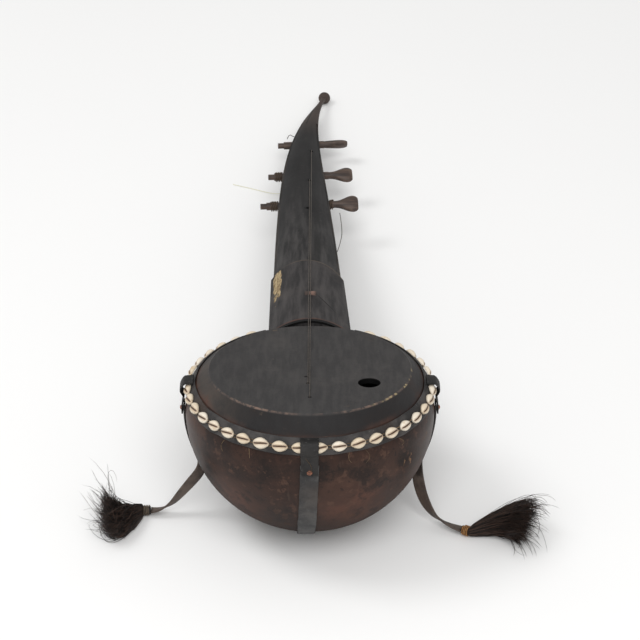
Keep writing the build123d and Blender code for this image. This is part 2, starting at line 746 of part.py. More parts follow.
# Rim band: leather round the shoulder, open where the neck's collar stands
collar_half = FOOT_WIDTH / 2 + COLLAR_GROWTH + BAND_END_GAP
band_opening = degrees(asin(collar_half / shoulder_point(STRAP_OUT, BAND_HIGH)[0]))
with BuildPart() as rim_band:
    with BuildSketch(meridian(BACK + band_opening)):
        with BuildLine():
            middle = (BAND_LOW + BAND_HIGH) / 2
            ends = []
            for radius in (STRAP_IN, STRAP_OUT):
                low_end = shoulder_point(radius, BAND_LOW)
                high_end = shoulder_point(radius, BAND_HIGH)
                ThreePointArc(low_end, shoulder_point(radius, middle), high_end)
                ends.append((low_end, high_end))
            Line(ends[0][0], ends[1][0])
            Line(ends[0][1], ends[1][1])
        make_face()
    revolve(axis=GOURD_AXIS, revolution_arc=360 - 2 * band_opening)
finish(rim_band.part, "rim_band")

# Cowries: half shells sewn on the band with the slit outwards, evenly spaced from one end to the other
with BuildPart() as cowrie:
    with BuildSketch(Plane.XY):
        with BuildLine():
            Line((-COWRIE_LENGTH / 2, 0), (COWRIE_LENGTH / 2, 0))
            ThreePointArc((-COWRIE_LENGTH / 2, 0), (0, COWRIE_WIDTH / 2), (COWRIE_LENGTH / 2, 0))
        make_face()
    revolve(axis=Axis.X, revolution_arc=180)
    with Locations((0, 0, COWRIE_WIDTH / 2)):
        Box(COWRIE_LENGTH, COWRIE_SLIT, 2 * COWRIE_SLIT_DEPTH, mode=Mode.SUBTRACT)

shell_radius = shoulder_point(STRAP_OUT + SKIN_GAP, COWRIE_ANGLE)
shell_opening = degrees(asin((collar_half + COWRIE_WIDTH / 2) / shell_radius[0]))
shell_span = 360 - 2 * shell_opening
shell_count = floor(radians(shell_span) * shell_radius[0] / COWRIE_PITCH)
with BuildPart() as cowries:
    places = []
    for index in range(shell_count):
        plane = meridian(BACK + shell_opening + (index + 0.5) * shell_span / shell_count)
        spot = plane.from_local_coords((*shell_radius, 0))
        tip = radians(COWRIE_ANGLE)
        places.append(Plane(spot, x_dir=plane.z_dir, z_dir=plane.x_dir * cos(tip) + plane.y_dir * sin(tip)))
    with Locations(*places):
        add(cowrie.part)
finish(cowries.part, "cowries")
print(f"cowries: {shell_count}")

# Straps: one runs under the bowl from the front to the back, one hangs on each side


def strap_profile(azimuth, low):
    with BuildSketch(meridian(azimuth)) as profile:
        with BuildLine():
            skin_arcs(SKIN_GAP, STRAP_HIGH, low)
            skin_arcs(SKIN_GAP + LEATHER, STRAP_HIGH, low)
            Line(skin_point(SKIN_GAP, STRAP_HIGH), skin_point(SKIN_GAP + LEATHER, STRAP_HIGH))
            Line(skin_point(SKIN_GAP, low), skin_point(SKIN_GAP + LEATHER, low))
        make_face()
    return profile.sketch


with BuildPart() as front_strap:
    extrude(strap_profile(FRONT, STRAP_BACK), amount=STRAP_WIDTH / 2, both=True)
    split(bisect_by=Plane.XY, keep=Keep.TOP)
    cut_rivet_holes()
finish(front_strap.part, "front_strap")

for name, azimuth in (("left_strap", LEFT), ("right_strap", RIGHT)):
    with BuildPart() as side_strap:
        extrude(strap_profile(azimuth, SIDE_STRAP_LOW), amount=SIDE_STRAP_WIDTH / 2, both=True)
        cut_rivet_holes()
    finish(side_strap.part, name)

# Tabs: each comes from the band, bridges the shells and is riveted over its strap


def tab_profile(azimuth):
    over_band = STRAP_OUT + SKIN_GAP
    over_shells = over_band + COWRIE_WIDTH / 2 + TAB_OVER
    with BuildSketch(meridian(azimuth)) as profile:
        with BuildLine():
            ends = []
            for rise in (0, TAB_THICKNESS):
                high_end = shoulder_point(over_band + rise, TAB_HIGH)
                turn_end = shoulder_point(over_band + rise, TAB_TURN)
                level_end = shoulder_point(over_band + rise, 0)
                low_end = shoulder_point(over_band + rise, TAB_LOW)
                ThreePointArc(high_end, shoulder_point(over_shells + rise, COWRIE_ANGLE), turn_end)
                ThreePointArc(turn_end, shoulder_point(over_band + rise, TAB_TURN / 2), level_end)
                Line(level_end, low_end)
                ends.append((high_end, low_end))
            Line(ends[0][0], ends[1][0])
            Line(ends[0][1], ends[1][1])
        make_face()
    return profile.sketch


for name, azimuth in (("front_tab", FRONT), ("left_tab", LEFT), ("right_tab", RIGHT)):
    with BuildPart() as tab:
        extrude(tab_profile(azimuth), amount=TAB_WIDTH / 2, both=True)
        cut_rivet_holes()
    finish(tab.part, name)

# Rivets: a shank through tab, strap and wall under a domed head
with BuildPart() as rivet:
    head_height = RIVET_DEPTH + SKIN_GAP + LEATHER + SKIN_GAP + TAB_THICKNESS + SEAT_GAP
    with BuildSketch(Plane.XZ):
        with BuildLine():
            Polyline((0, head_height + RIVET_DOME), (0, 0), (RIVET_DIAMETER / 2, 0))
            Polyline((RIVET_DIAMETER / 2, 0), (RIVET_DIAMETER / 2, head_height), (RIVET_HEAD / 2, head_height))
            RadiusArc(
                (RIVET_HEAD / 2, head_height),
                (0, head_height + RIVET_DOME),
                -((RIVET_HEAD / 2) ** 2 + RIVET_DOME**2) / (2 * RIVET_DOME),
            )
        make_face()
    revolve(axis=Axis.Z)
with BuildPart() as tab_rivets:
    with Locations(*rivet_places()):
        add(rivet.part)
finish(tab_rivets.part, "tab_rivets")

# Free ends of the side straps: on down from the strap, then out along the floor to their tassel


def strap_foot(azimuth):
    """The end of a side strap, the direction it runs in there and the direction across it."""
    plane = meridian(azimuth)
    low = radians(SIDE_STRAP_LOW)
    end = plane.from_local_coords((*skin_point(SKIN_GAP + LEATHER / 2, SIDE_STRAP_LOW), 0))
    running = plane.x_dir * sin(low) - plane.y_dir * cos(low)
    return end + running * SKIN_GAP, running, plane.z_dir


FLOOR_HEIGHT = 6.2
left_foot, left_run, left_across = strap_foot(LEFT)
right_foot, right_run, right_across = strap_foot(RIGHT)
left_points = [
    left_foot,
    left_foot + left_run * 14,
    (0.5 - GOURD_RADIUS, -12, 35),
    (-22.5 - GOURD_RADIUS, -13.6, FLOOR_HEIGHT),
    (-37.5 - GOURD_RADIUS, -14, FLOOR_HEIGHT),
]
right_points = [
    right_foot,
    right_foot + right_run * 14,
    (GOURD_RADIUS - 10.5, -23, 24),
    (GOURD_RADIUS + 7.5, -34, FLOOR_HEIGHT),
    (GOURD_RADIUS + 29, -45, FLOOR_HEIGHT),
]
finish(ribbon_along("left_free_strap", left_points, left_across), "left_free_strap")
finish(ribbon_along("right_free_strap", right_points, right_across), "right_free_strap")

# Tassels: hair that fans out from a bound root, lies on the floor and ends in pointed tufts


def tassel_place(points):
    """The bound root's plane: it goes on where the strap ends, with x to its left and y up."""
    end = Vector(*points[-1])
    ahead = (end - Vector(*points[-2])).normalized()
    return Plane(end + ahead * SKIN_GAP, x_dir=Vector(0, 0, 1).cross(ahead), z_dir=ahead)


def fan_point(x, y, reach, spread, swing, lift):
    """Where a spot of the root lies at a share of the way along the fan."""
    across = x * (1 + reach * (spread[0] / ROOT_RADIUS - 1)) + reach * swing
    up = y * (1 + reach * (spread[1] / ROOT_RADIUS - 1)) + reach * lift
    return across, up


def hair_body(place, length, spread, swing, lift):
    """The dense part of the hair, an oval that widens and swings away from the root's line."""
    sections = []
    for reach in (0, 0.3, 0.55, TUFT_FROM):
        half_x = ROOT_RADIUS + reach * (spread[0] - ROOT_RADIUS)
        half_y = ROOT_RADIUS + reach * (spread[1] - ROOT_RADIUS)
        with BuildSketch(place.offset(ROOT_LENGTH + reach * length)) as section:
            with Locations(fan_point(0, 0, reach, spread, swing, lift)):
                Ellipse(half_x, half_y)
        sections.append(section.sketch)
    return sections


def tuft(place, index, length, spread, swing, lift):
    """A pointed lock of hair; the locks' places follow a sunflower's pattern."""
    around = index * pi * (3 - sqrt(5))
    out = (ROOT_RADIUS - TUFT_ROOT / 4) * sqrt((index + 0.5) / TUFTS)
    spot = (out * cos(around), out * sin(around))
    tip = 1 - TUFT_SPREAD * ((index * 0.618034) % 1)
    with BuildPart() as lock:
        for reach, radius in ((TUFT_FROM - TUFT_SPREAD, TUFT_ROOT), (tip, TUFT_TIP)):
            with BuildSketch(place.offset(ROOT_LENGTH + reach * length)):
                with Locations(fan_point(*spot, reach, spread, swing, lift)):
                    RegularPolygon(radius, 4)
        loft(ruled=True)
    return lock.part


tassels = (
    ("left", tassel_place(left_points), 44.0, (19.0, 10.0), 29.0, 6.5),
    ("right", tassel_place(right_points), 56.0, (22.0, 10.5), 39.0, 6.5),
)
for name, place, *fan in tassels:
    with BuildPart() as tassel:
        with BuildSketch(place):
            Circle(ROOT_RADIUS)
        extrude(amount=ROOT_LENGTH)
        loft(sections=hair_body(place, *fan))
        add([tuft(place, index, *fan) for index in range(TUFTS)])
    print(f"{name}_tassel: {len(tassel.part.solids())} solid, volume {tassel.part.volume:.0f}")
    finish(tassel.part, f"{name}_tassel")
    bound = place.offset(BINDING_DIAMETER)
    loop_radius = ROOT_RADIUS + WINDING_GAP + BINDING_DIAMETER / 2
    binding = winding(f"{name}_binding", bound, loop_radius, BINDING_DIAMETER, BINDING_PITCH, 4)
    finish(binding, f"{name}_binding")

# Loose ends: two bits of old string wire and a pale thread
wire_left = [
    top_point(-11, NECK_START + 616, -18.4),
    top_point(-22, NECK_START + 613, -14),
    top_point(-27.5, NECK_START + 602, -6),
    top_point(-29.4, NECK_START + 585, -6.3),
]
wire_right = [
    top_point(29, NECK_START + 250, -16),
    top_point(32.5, NECK_START + 269, -14),
    top_point(35.5, NECK_START + 310, -14),
    top_point(32.5, NECK_START + 366, -16),
]
thread = [
    (-12, NECK_START + 500, 22.9),
    (-22, NECK_START + 498, 12),
    (-36, NECK_START + 496, 3),
    (-52, NECK_START + 503, 0.9),
    (-72, NECK_START + 513, 0.8),
    (-94, NECK_START + 522, 0.8),
]
finish(tube_along("wire_left", wire_left, WIRE_DIAMETER), "wire_left")
finish(tube_along("wire_right", wire_right, WIRE_DIAMETER), "wire_right")
finish(tube_along("thread", thread, THREAD_DIAMETER), "thread")

print(f"gourd leans {degrees(lean):.2f} degrees, board crest {BOARD_CREST:.2f}, rim height {RIM_HEIGHT:.2f}")
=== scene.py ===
import json

import bpy
import numpy as np
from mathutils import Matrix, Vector


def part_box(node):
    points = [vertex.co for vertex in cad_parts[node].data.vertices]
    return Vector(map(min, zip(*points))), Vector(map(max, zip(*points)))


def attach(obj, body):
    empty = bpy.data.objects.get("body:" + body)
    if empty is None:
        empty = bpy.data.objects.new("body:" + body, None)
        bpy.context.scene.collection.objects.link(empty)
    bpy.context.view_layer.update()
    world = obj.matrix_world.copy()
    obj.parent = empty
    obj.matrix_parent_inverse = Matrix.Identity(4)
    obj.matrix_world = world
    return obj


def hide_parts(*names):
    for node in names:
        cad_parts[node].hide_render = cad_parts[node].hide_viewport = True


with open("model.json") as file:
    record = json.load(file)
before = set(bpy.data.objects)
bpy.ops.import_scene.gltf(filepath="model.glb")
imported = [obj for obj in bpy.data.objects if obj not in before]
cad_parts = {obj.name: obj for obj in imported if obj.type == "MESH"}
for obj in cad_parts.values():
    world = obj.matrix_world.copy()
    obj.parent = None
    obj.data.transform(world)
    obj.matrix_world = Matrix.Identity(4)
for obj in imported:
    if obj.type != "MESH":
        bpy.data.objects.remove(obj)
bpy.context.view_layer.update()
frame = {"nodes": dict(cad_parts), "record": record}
nodes = frame["nodes"]
scene = bpy.context.scene
scene.view_settings.view_transform = "Standard"

# Gourd bowl
# A dried round gourd with its top cut off, its hard skin stained and polished almost black by years of hands.
# It leans, so that the neck's tip comes down to the floor; every later piece is placed from its axis.
GOURD_CENTRE = np.array([0.0, 0.0, 0.126])
GOURD_RADIUS = 0.1245
SHOULDER_RADIUS = 0.046
LEAN = np.radians(6.4499)
AXIS = np.array([0.0, np.sin(LEAN), np.cos(LEAN)])
AHEAD = np.array([0.0, np.cos(LEAN), -np.sin(LEAN)])
SIDE = np.array([1.0, 0.0, 0.0])
RED_PATCHES = ((0.045, -0.107, 0.08), (-0.07, -0.089, 0.074))
RED_REACH = 0.06
SCRAWL_PLACE = (0.097, -0.0777, 0.1187)
SCRAWL_REACH = 0.013
DARK_SPOT = (-0.1, -0.071, 0.1044)
DARK_REACH = 0.012


class Value:
    """A shader socket. Arithmetic on it adds Math nodes to its tree."""

    def __init__(self, finish, socket):
        self.finish = finish
        self.socket = socket

    def math(self, operation, other=0.0, swap=False):
        pair = [other, self] if swap else [self, other]
        return self.finish.add("ShaderNodeMath", {"operation": operation}, {0: pair[0], 1: pair[1]})

    def __add__(self, other):
        return self.math("ADD", other)

    __radd__ = __add__

    def __mul__(self, other):
        return self.math("MULTIPLY", other)

    __rmul__ = __mul__

    def __sub__(self, other):
        return self.math("SUBTRACT", other)

    def __rsub__(self, other):
        return self.math("SUBTRACT", other, swap=True)

    def __truediv__(self, other):
        return self.math("DIVIDE", other)

    def __pow__(self, other):
        return self.math("POWER", other)

    def sine(self):
        return self.math("SINE")

    def size(self):
        return self.math("ABSOLUTE")

    def between(self, low, high):
        """A smooth step from 0 at low to 1 at high; where low is the higher of the two, it falls."""
        settings = {"interpolation_type": "SMOOTHSTEP"}
        sockets = {0: self, 1: low, 2: high, 3: 0.0, 4: 1.0}
        if low > high:
            sockets = {0: self, 1: high, 2: low, 3: 1.0, 4: 0.0}
        return self.finish.add("ShaderNodeMapRange", settings, sockets)


class Finish:
    """A material and the nodes that paint it."""

    def __init__(self, name, **fixed):
        self.material = bpy.data.materials.new(name)
        self.material.use_nodes = True
        self.tree = self.material.node_tree
        self.shader = self.tree.nodes["Principled BSDF"]
        for socket, value in fixed.items():
            self.shader.inputs[socket.replace("_", " ")].default_value = value
        self.place = self.add("ShaderNodeTexCoord", output="Object")

    def put(self, socket, value):
        if isinstance(value, Value):
            self.tree.links.new(value.socket, socket)
        else:
            socket.default_value = value

    def add(self, kind, settings=None, sockets=None, output=0):
        node = self.tree.nodes.new(kind)
        for key, value in (settings or {}).items():
            setattr(node, key, value)
        for key, value in (sockets or {}).items():
            self.put(node.inputs[key], value)
        return Value(self, node.outputs[output])

    def stretch(self, scale, turn=(0.0, 0.0, 0.0)):
        """Object coordinates, turned and then scaled along each axis."""
        return self.add("ShaderNodeMapping", None, {"Vector": self.place, "Rotation": turn, "Scale": scale})

    def noise(self, scale, detail=4.0, rough=0.55, vector=None):
        sockets = {"Vector": vector or self.place, "Scale": scale, "Detail": detail, "Roughness": rough}
        return self.add("ShaderNodeTexNoise", {"noise_dimensions": "3D"}, sockets)

    def axis(self, letter, vector=None):
        return self.add("ShaderNodeSeparateXYZ", None, {0: vector or self.place}, letter)

    def attribute(self, name):
        return self.add("ShaderNodeAttribute", {"attribute_name": name}, output="Fac")

    def spot(self, centre, reach):
        """1 at a point of the object, falling to 0 at a distance from it."""
        off = self.add("ShaderNodeVectorMath", {"operation": "DISTANCE"}, {0: self.place, 1: centre}, "Value")
        return off.between(reach, 0.0)

    def mix(self, share, under, over):
        node = self.tree.nodes.new("ShaderNodeMix")
        node.data_type = "RGBA"
        for key, value in ((0, share), (6, under), (7, over)):
            self.put(node.inputs[key], value if isinstance(value, (Value, float, int)) else (*value, 1.0))
        return Value(self, node.outputs[2])

    def layers(self, colour, *coats):
        """A ground colour with coats laid over it in turn; each is the share it covers and its colour."""
        for share, coat in coats:
            colour = self.mix(share, colour, coat)
        return colour

    def paint(self, colour, roughness, height=None, depth=0.001, strength=0.6):
        """Feeds the shader: a colour, a roughness and a bump of the given depth in metres."""
        self.put(self.shader.inputs["Base Color"], colour)
        self.put(self.shader.inputs["Roughness"], roughness)
        if height is not None:
            sockets = {"Height": height, "Distance": depth, "Strength": strength}
            self.put(self.shader.inputs["Normal"], self.add("ShaderNodeBump", None, sockets, "Normal"))
        return self.material


def dress(name, material):
    """Gives a CAD node its material."""
    slots = nodes[name].data.materials
    slots.clear()
    slots.append(material)


def gourd_skin():
    finish = Finish("gourd_skin", Specular_IOR_Level=0.15)
    cloud = finish.noise(9.0, 5.0, 0.6)
    mottle = finish.noise(30.0, 6.0, 0.68)
    fine = finish.noise(95.0, 6.0, 0.68)
    scratch = finish.noise(120.0, 3.0, 0.5, finish.stretch((1.0, 1.0, 0.12), (0.0, 0.5, 0.3)))
    # low is 1 at the gourd's bottom. It carries painted shade, darker towards the bottom, and a rougher skin
    # there.
    low = finish.axis("Z").between(0.12, 0.02)
    red = sum(finish.spot(patch, RED_REACH) for patch in RED_PATCHES).between(0.05, 0.9)
    scrawl = (finish.axis("X") * 900.0 + finish.noise(60.0) * 14.0).sine().between(0.86, 0.97)
    scrawl = scrawl * finish.spot(SCRAWL_PLACE, SCRAWL_REACH).between(0.2, 0.5)
    colour = finish.layers(
        (0.0247, 0.014, 0.0111),
        (cloud.between(0.46, 0.66) * 0.8, (0.0728, 0.0364, 0.0254)),
        (red * cloud.between(0.34, 0.6) * 0.6, (0.117, 0.0468, 0.0299)),
        (mottle.between(0.46, 0.6) * 0.6, (0.0442, 0.0221, 0.0159)),
        (mottle.between(0.47, 0.37) * 0.7, (0.0117, 0.0082, 0.0073)),
        (fine.between(0.55, 0.66) * 0.45, (0.1105, 0.0585, 0.0403)),
        (fine.between(0.42, 0.34) * 0.6, (0.0104, 0.0078, 0.0072)),
        (scratch.between(0.67, 0.8) * 0.3, (0.12, 0.085, 0.064)),
        # painted shade: the skin darker towards the bottom
        (low * 0.6, (0.0182, 0.0094, 0.0068)),
        (scrawl * 0.7, (0.24, 0.13, 0.07)),
        (finish.spot(DARK_SPOT, DARK_REACH) * 0.9, (0.0078, 0.0065, 0.0065)),
    )
    rough = 0.34 + cloud * 0.16 + fine.between(0.5, 0.8) * 0.12 + low * 0.35
    return finish.paint(colour, rough, cloud * 0.4 + mottle * 0.3 + fine * 0.3 + scratch * 0.08, 0.001, 0.5)


dress("gourd_bowl", gourd_skin())

# Soundboard
# A thick lid carved from one piece of wood, bevelled all round and blackened, seated on the gourd's rim.
# Its top edge is rubbed pale in front and yellowish at the right; a round sound hole opens at the right.
TOP_TILT = LEAN + np.radians(4.5)
TOP_UP = np.array([0.0, np.sin(TOP_TILT), np.cos(TOP_TILT)])
TOP_ALONG = np.array([0.0, np.cos(TOP_TILT), -np.sin(TOP_TILT)])
TOP_RISE = 0.04202
TOP_ORIGIN = GOURD_CENTRE + AXIS * TOP_RISE
BOARD_HALF_WIDTH = 0.1018
BOARD_HALF_LENGTH = 0.1064
BOARD_SHIFT = 0.0046
SOUND_HOLE = (0.0585, -0.0295)
SOUND_HOLE_SHADE_EDGE = (0.0126, 0.0115)


def top_point(x, along, up):
    """A point by its distance across, along the neck from the gourd's axis, and above the top's plane."""
    return TOP_ORIGIN + SIDE * x + TOP_ALONG * along + TOP_UP * up


def top_axes(finish):
    """Across, along and up values of the plane of the board's top and the neck's crest."""
    away = finish.add("ShaderNodeVectorMath", {"operation": "SUBTRACT"}, {0: finish.place, 1: TOP_ORIGIN})
    dot = {"operation": "DOT_PRODUCT"}
    return [
        finish.add("ShaderNodeVectorMath", dot, {0: away, 1: direction}, "Value")
        for direction in (SIDE, TOP_ALONG, TOP_UP)
    ]


def board_wood():
    """Blackened grain, worn along the top edge, where far, a share of the top's ellipse, is 1."""
    finish = Finish("board_wood", Specular_IOR_Level=0.14)
    across, along, up = top_axes(finish)
    grain = finish.noise(170.0, 5.0, 0.62, finish.stretch((1.0, 0.16, 0.5)))
    cloud = finish.noise(14.0, 6.0, 0.66)
    fine = finish.noise(220.0, 4.0, 0.6)
    speck = finish.noise(85.0, 3.0, 0.5).between(0.68, 0.74) * cloud.between(0.46, 0.6)
    far = ((across / BOARD_HALF_WIDTH) ** 2.0 + ((along - BOARD_SHIFT) / BOARD_HALF_LENGTH) ** 2.0) ** 0.5
    edge = far.between(0.982, 0.99) * far.between(1.004, 0.996)
    bevel = far.between(0.99, 1.01)
    # front is 1 towards the front. On the top edge it sets where the wear shows most; on the bevel it carries
    # painted shade.
    front = along.between(-0.02, -0.085)
    # left carries painted light: the left of the bevel, turned to the light, is lighter.
    left = across.between(-0.05, -0.1) * cloud.between(0.3, 0.6)
    right = across.between(0.05, 0.092) * along.between(0.03, -0.03)
    scuff = bevel * cloud.between(0.56, 0.66) * fine.between(0.4, 0.6)
    worn = edge * (front * 0.5 + 0.12) * cloud.between(0.36, 0.6) * fine.between(0.36, 0.56)
    pale = edge * right * finish.noise(70.0).between(0.5, 0.58)
    rim = far.between(1.07, 1.1) * cloud.between(0.4, 0.6)
    bore = ((across - SOUND_HOLE[0]) ** 2.0 + (along - SOUND_HOLE[1]) ** 2.0) ** 0.5
    colour = finish.layers(
        (0.0358, 0.0342, 0.0344),
        (grain.between(0.35, 0.7), (0.05, 0.0475, 0.0467)),
        (cloud.between(0.5, 0.72) * 0.5, (0.081, 0.0743, 0.0702)),
        (bevel * 0.6, (0.0284, 0.0263, 0.0267)),
        (bevel * cloud.between(0.42, 0.62) * 0.5, (0.0378, 0.0263, 0.0223)),
        # painted shade: the front of the bevel darker
        (bevel * front * 0.55, (0.011, 0.0108, 0.0115)),
        # painted light: the left of the bevel lighter
        (bevel * left * 0.6, (0.085, 0.07, 0.06)),
        (scuff * 0.6, (0.1, 0.046, 0.031)),
        (speck * 0.7, (0.17, 0.12, 0.08)),
        (worn, (0.3, 0.2, 0.155)),
        (pale, (0.38, 0.3, 0.17)),
        (rim * 0.4, (0.0945, 0.0486, 0.0365)),
        # painted shade: the sound hole's wall, below the top, near black
        (bore.between(*SOUND_HOLE_SHADE_EDGE) * up.between(-0.0001, -0.001), (0.003, 0.003, 0.003)),
    )
    rough = 0.52 + cloud * 0.2 + worn * 0.2
    return finish.paint(colour, rough, grain * 0.45 + fine * 0.35 + cloud * 0.4, 0.0008, 0.6)


dress("soundboard", board_wood())

# Neck
# A long tapering trough carved from wood, closed in front by a cambered cover, hollow up to the throat.
# The tip is carved into a curled finial with a knob, where handling has worn the black stain back to brown.
STRING_HOLES = ((0.0, 0.6302), (-0.0019, 0.5322), (-0.0038, 0.442))
STRING_HOLE_SHADE_REACH = 0.0072


def neck_wood(name, wear):
    """Black stain in long streaks, with paler wood on the body as far as it is worn, and a brown tip."""
    finish = Finish(name, Specular_IOR_Level=0.13)
    across, along, up = top_axes(finish)
    streak = finish.noise(150.0, 5.0, 0.62, finish.stretch((1.0, 0.035, 0.6)))
    broad = finish.noise(38.0, 3.0, 0.5, finish.stretch((1.0, 0.025, 0.5)))
    cloud = finish.noise(11.0, 5.0, 0.6)
    fine = finish.noise(260.0, 4.0, 0.6)
    # Painted shade: a dark stripe on the front right of the strings, where the rounded neck turns from the
    # light.
    shade_stripe = across.between(0.002, 0.005) * across.between(0.013, 0.008) * up.between(-0.006, -0.002)
    body = along.between(0.69, 0.6)
    tip = along.between(0.67, 0.79)
    # Painted shade: a thin dark line along the crease near the tip.
    crease_shade = (across - (along - 0.74) * 0.16 + 0.004).size().between(0.0011, 0.0002)
    crease_shade = crease_shade * along.between(0.715, 0.73) * along.between(0.785, 0.77) * up.between(-0.009, -0.006)
    # Painted shade: a dark spot round each string hole.
    hole = sum(finish.spot(top_point(x, v, 0.0), STRING_HOLE_SHADE_REACH) for x, v in STRING_HOLES)
    colour = finish.layers(
        (0.0132, 0.0126, 0.0128),
        (streak.between(0.34, 0.66), (0.0527, 0.0494, 0.0486)),
        (broad.between(0.48, 0.66) * 0.45, (0.0743, 0.0688, 0.0668)),
        (broad.between(0.46, 0.34) * 0.4, (0.0108, 0.0104, 0.0105)),
        (along.between(0.3, 0.55) * 0.78, (0.0101, 0.0097, 0.0099)),
        # painted shade right of the strings
        (shade_stripe * cloud.between(0.35, 0.6) * 0.8, (0.0121, 0.0115, 0.0115)),
        (body * cloud.between(0.36, 0.6) * wear, (0.1148, 0.0972, 0.0864)),
        (tip * cloud.between(0.25, 0.55) * 0.8, (0.085, 0.063, 0.054)),
        (fine.between(0.62, 0.75) * 0.3, (0.1148, 0.1013, 0.0945)),
        # painted shade in the crease
        (crease_shade, (0.0108, 0.0095, 0.0095)),
        # painted shade round the string holes
        (hole.between(0.15, 0.6), (0.0054, 0.0054, 0.0054)),
    )
    rough = 0.4 + cloud * 0.2 + streak * 0.12
    return finish.paint(colour, rough, streak * 0.7 + broad * 0.3 + fine * 0.2, 0.0008, 0.6)


trough_wood = neck_wood("neck_back_wood", 0.35)
dress("neck_back", trough_wood)
dress("neck_front", neck_wood("neck_cover_wood", 0.0))
dress("heel_block", trough_wood)
dress("heel_pins", trough_wood)

# Neck collar and nut
# A hide sleeve shrunk over the foot of the neck, blackened like the wood and arched at its upper end.
# It is worn through to pale fibres at the left of the arch; a small bare wedge lifts the strings off it.


def collar_hide():
    """Streaked black hide with a painted highlight on the arch, a frayed bare patch, a slanting crack and
    painted shade at the foot.
    """
    finish = Finish("collar_hide", Specular_IOR_Level=0.14)
    across, along, up = top_axes(finish)
    streak = finish.noise(130.0, 5.0, 0.6, finish.stretch((1.0, 0.05, 0.6)))
    fibre = finish.noise(420.0, 4.0, 0.7, finish.stretch((1.0, 0.12, 1.0), (0.0, 0.0, 0.35)))
    cloud = finish.noise(16.0, 5.0, 0.62)
    fine = finish.noise(300.0, 4.0, 0.6)
    arch = ((across + 0.004) ** 2.0 + (along - 0.237) ** 2.0) ** 0.5
    # Painted highlight: a pale line along the arched upper edge, where it stands proud.
    arch_highlight = arch.between(0.0428, 0.0442) * along.between(0.236, 0.24) * cloud.between(0.36, 0.56)
    frayed = finish.noise(110.0, 5.0, 0.7, finish.stretch((1.0, 0.16, 1.0)))
    patch = (across + 0.0352).size().between(0.0072, 0.0015)
    patch = patch * along.between(0.15, 0.235) * along.between(0.278, 0.258)
    bare = (patch + (frayed - 0.5) * 3.2).between(0.5, 0.62)
    bare = bare * patch.between(0.04, 0.3) * up.between(-0.02, -0.016)
    fibres = finish.mix(fibre.between(0.4, 0.62), (0.17, 0.115, 0.06), (0.46, 0.36, 0.21))
    crack = (across - 0.006 - (0.188 - along) * 0.55).size().between(0.0011, 0.0003)
    crack = crack * along.between(0.187, 0.18) * along.between(0.125, 0.14) * up.between(-0.004, 0.0)
    foot = (across**2.0 + along**2.0) ** 0.5 + up * 0.12
    colour = finish.layers(
        (0.0223, 0.0209, 0.0213),
        (streak.between(0.32, 0.7), (0.0594, 0.0547, 0.054)),
        (cloud.between(0.5, 0.7) * 0.5, (0.0837, 0.0743, 0.0702)),
        # painted highlight on the arched edge
        (arch_highlight * 0.7, (0.12, 0.092, 0.07)),
        (bare, fibres),
        (crack, (0.0108, 0.0095, 0.0095)),
        (foot.between(0.127, 0.1235) * cloud.between(0.36, 0.56) * 0.8, (0.1013, 0.0486, 0.0351)),
        # painted shade: a black band at the foot, standing in for the gap against the gourd
        (foot.between(0.1235, 0.122), (0.0054, 0.0051, 0.0051)),
    )
    rough = 0.55 + cloud * 0.18 + bare * 0.15
    height = streak * 0.5 + fine * 0.25 + bare * (fibre * 0.9 - 0.5) - crack * 0.8
    return finish.paint(colour, rough, height, 0.0009, 0.6)


def bare_wood():
    finish = Finish("bare_wood", Specular_IOR_Level=0.3)
    grain = finish.noise(420.0, 4.0, 0.6, finish.stretch((0.2, 1.0, 1.0)))
    across = finish.axis("X")
    colour = finish.layers(
        (0.12, 0.07, 0.054),
        (grain.between(0.35, 0.65), (0.24, 0.145, 0.115)),
        (across.between(0.0005, -0.0025) * 0.85, (0.026, 0.021, 0.019)),
        (across.between(0.003, 0.0055) * 0.7, (0.03, 0.024, 0.021)),
    )
    return finish.paint(colour, 0.55 + grain * 0.2, grain, 0.0004, 0.5)


wedge_wood = bare_wood()
dress("neck_collar", collar_hide())
dress("nut", wedge_wood)
dress("string_toggles", wedge_wood)

# Pegs
# Three friction pegs whittled from dark wood: a round shaft through both walls of the neck, a thin tail on
# the left and a flat paddle on the right. Each turns in its holes with whatever is wound on it.
PEG_RAKE = np.radians(5.0)
PEG_AXIS = SIDE * np.cos(PEG_RAKE) + TOP_ALONG * np.sin(PEG_RAKE)
PEG_RADIUS = 0.0044
peg_places = {joint["child"]: np.array(joint["pos_m"]) for joint in frame["record"]["behaviour"]["joints"]}


def peg_wood():
    finish = Finish("peg_wood", Specular_IOR_Level=0.35)
    grain = finish.noise(190.0, 5.0, 0.6, finish.stretch((0.1, 1.0, 1.0)))
    cloud = finish.noise(60.0, 4.0, 0.6)
    colour = finish.layers(
        (0.034, 0.0245, 0.021),
        (grain.between(0.34, 0.68), (0.105, 0.07, 0.054)),
        (cloud.between(0.55, 0.72) * 0.6, (0.13, 0.09, 0.068)),
    )
    return finish.paint(colour, 0.42 + cloud * 0.22, grain * 0.7 + cloud * 0.3, 0.0006, 0.6)


peg_finish = peg_wood()
for name in ("peg_upper", "peg_middle", "peg_lower"):
    dress(name, peg_finish)

# Strings and what is wound on the pegs
# Two thin dull wire strings run from toggles under the board over the wedge and into the neck. Inside, each
# winds on its peg; old cord is wrapped round the tails of the middle and lower peg and the lower peg's head.
COIL_GAP = 0.0001
COIL_STEPS = 28
TUBE_SIDES = 10
CORNERS = ((0, 0), (1, 0), (1, 1), (0, 1))


def wire_metal(name, metallic, scale, dark, light, rough, depth):
    finish = Finish(name, Metallic=metallic)
    dull = finish.noise(scale, 3.0, 0.6)
    colour = finish.mix(dull.between(0.35, 0.65), dark, light)
    return finish.paint(colour, rough + dull * 0.2, dull, depth, 0.5)


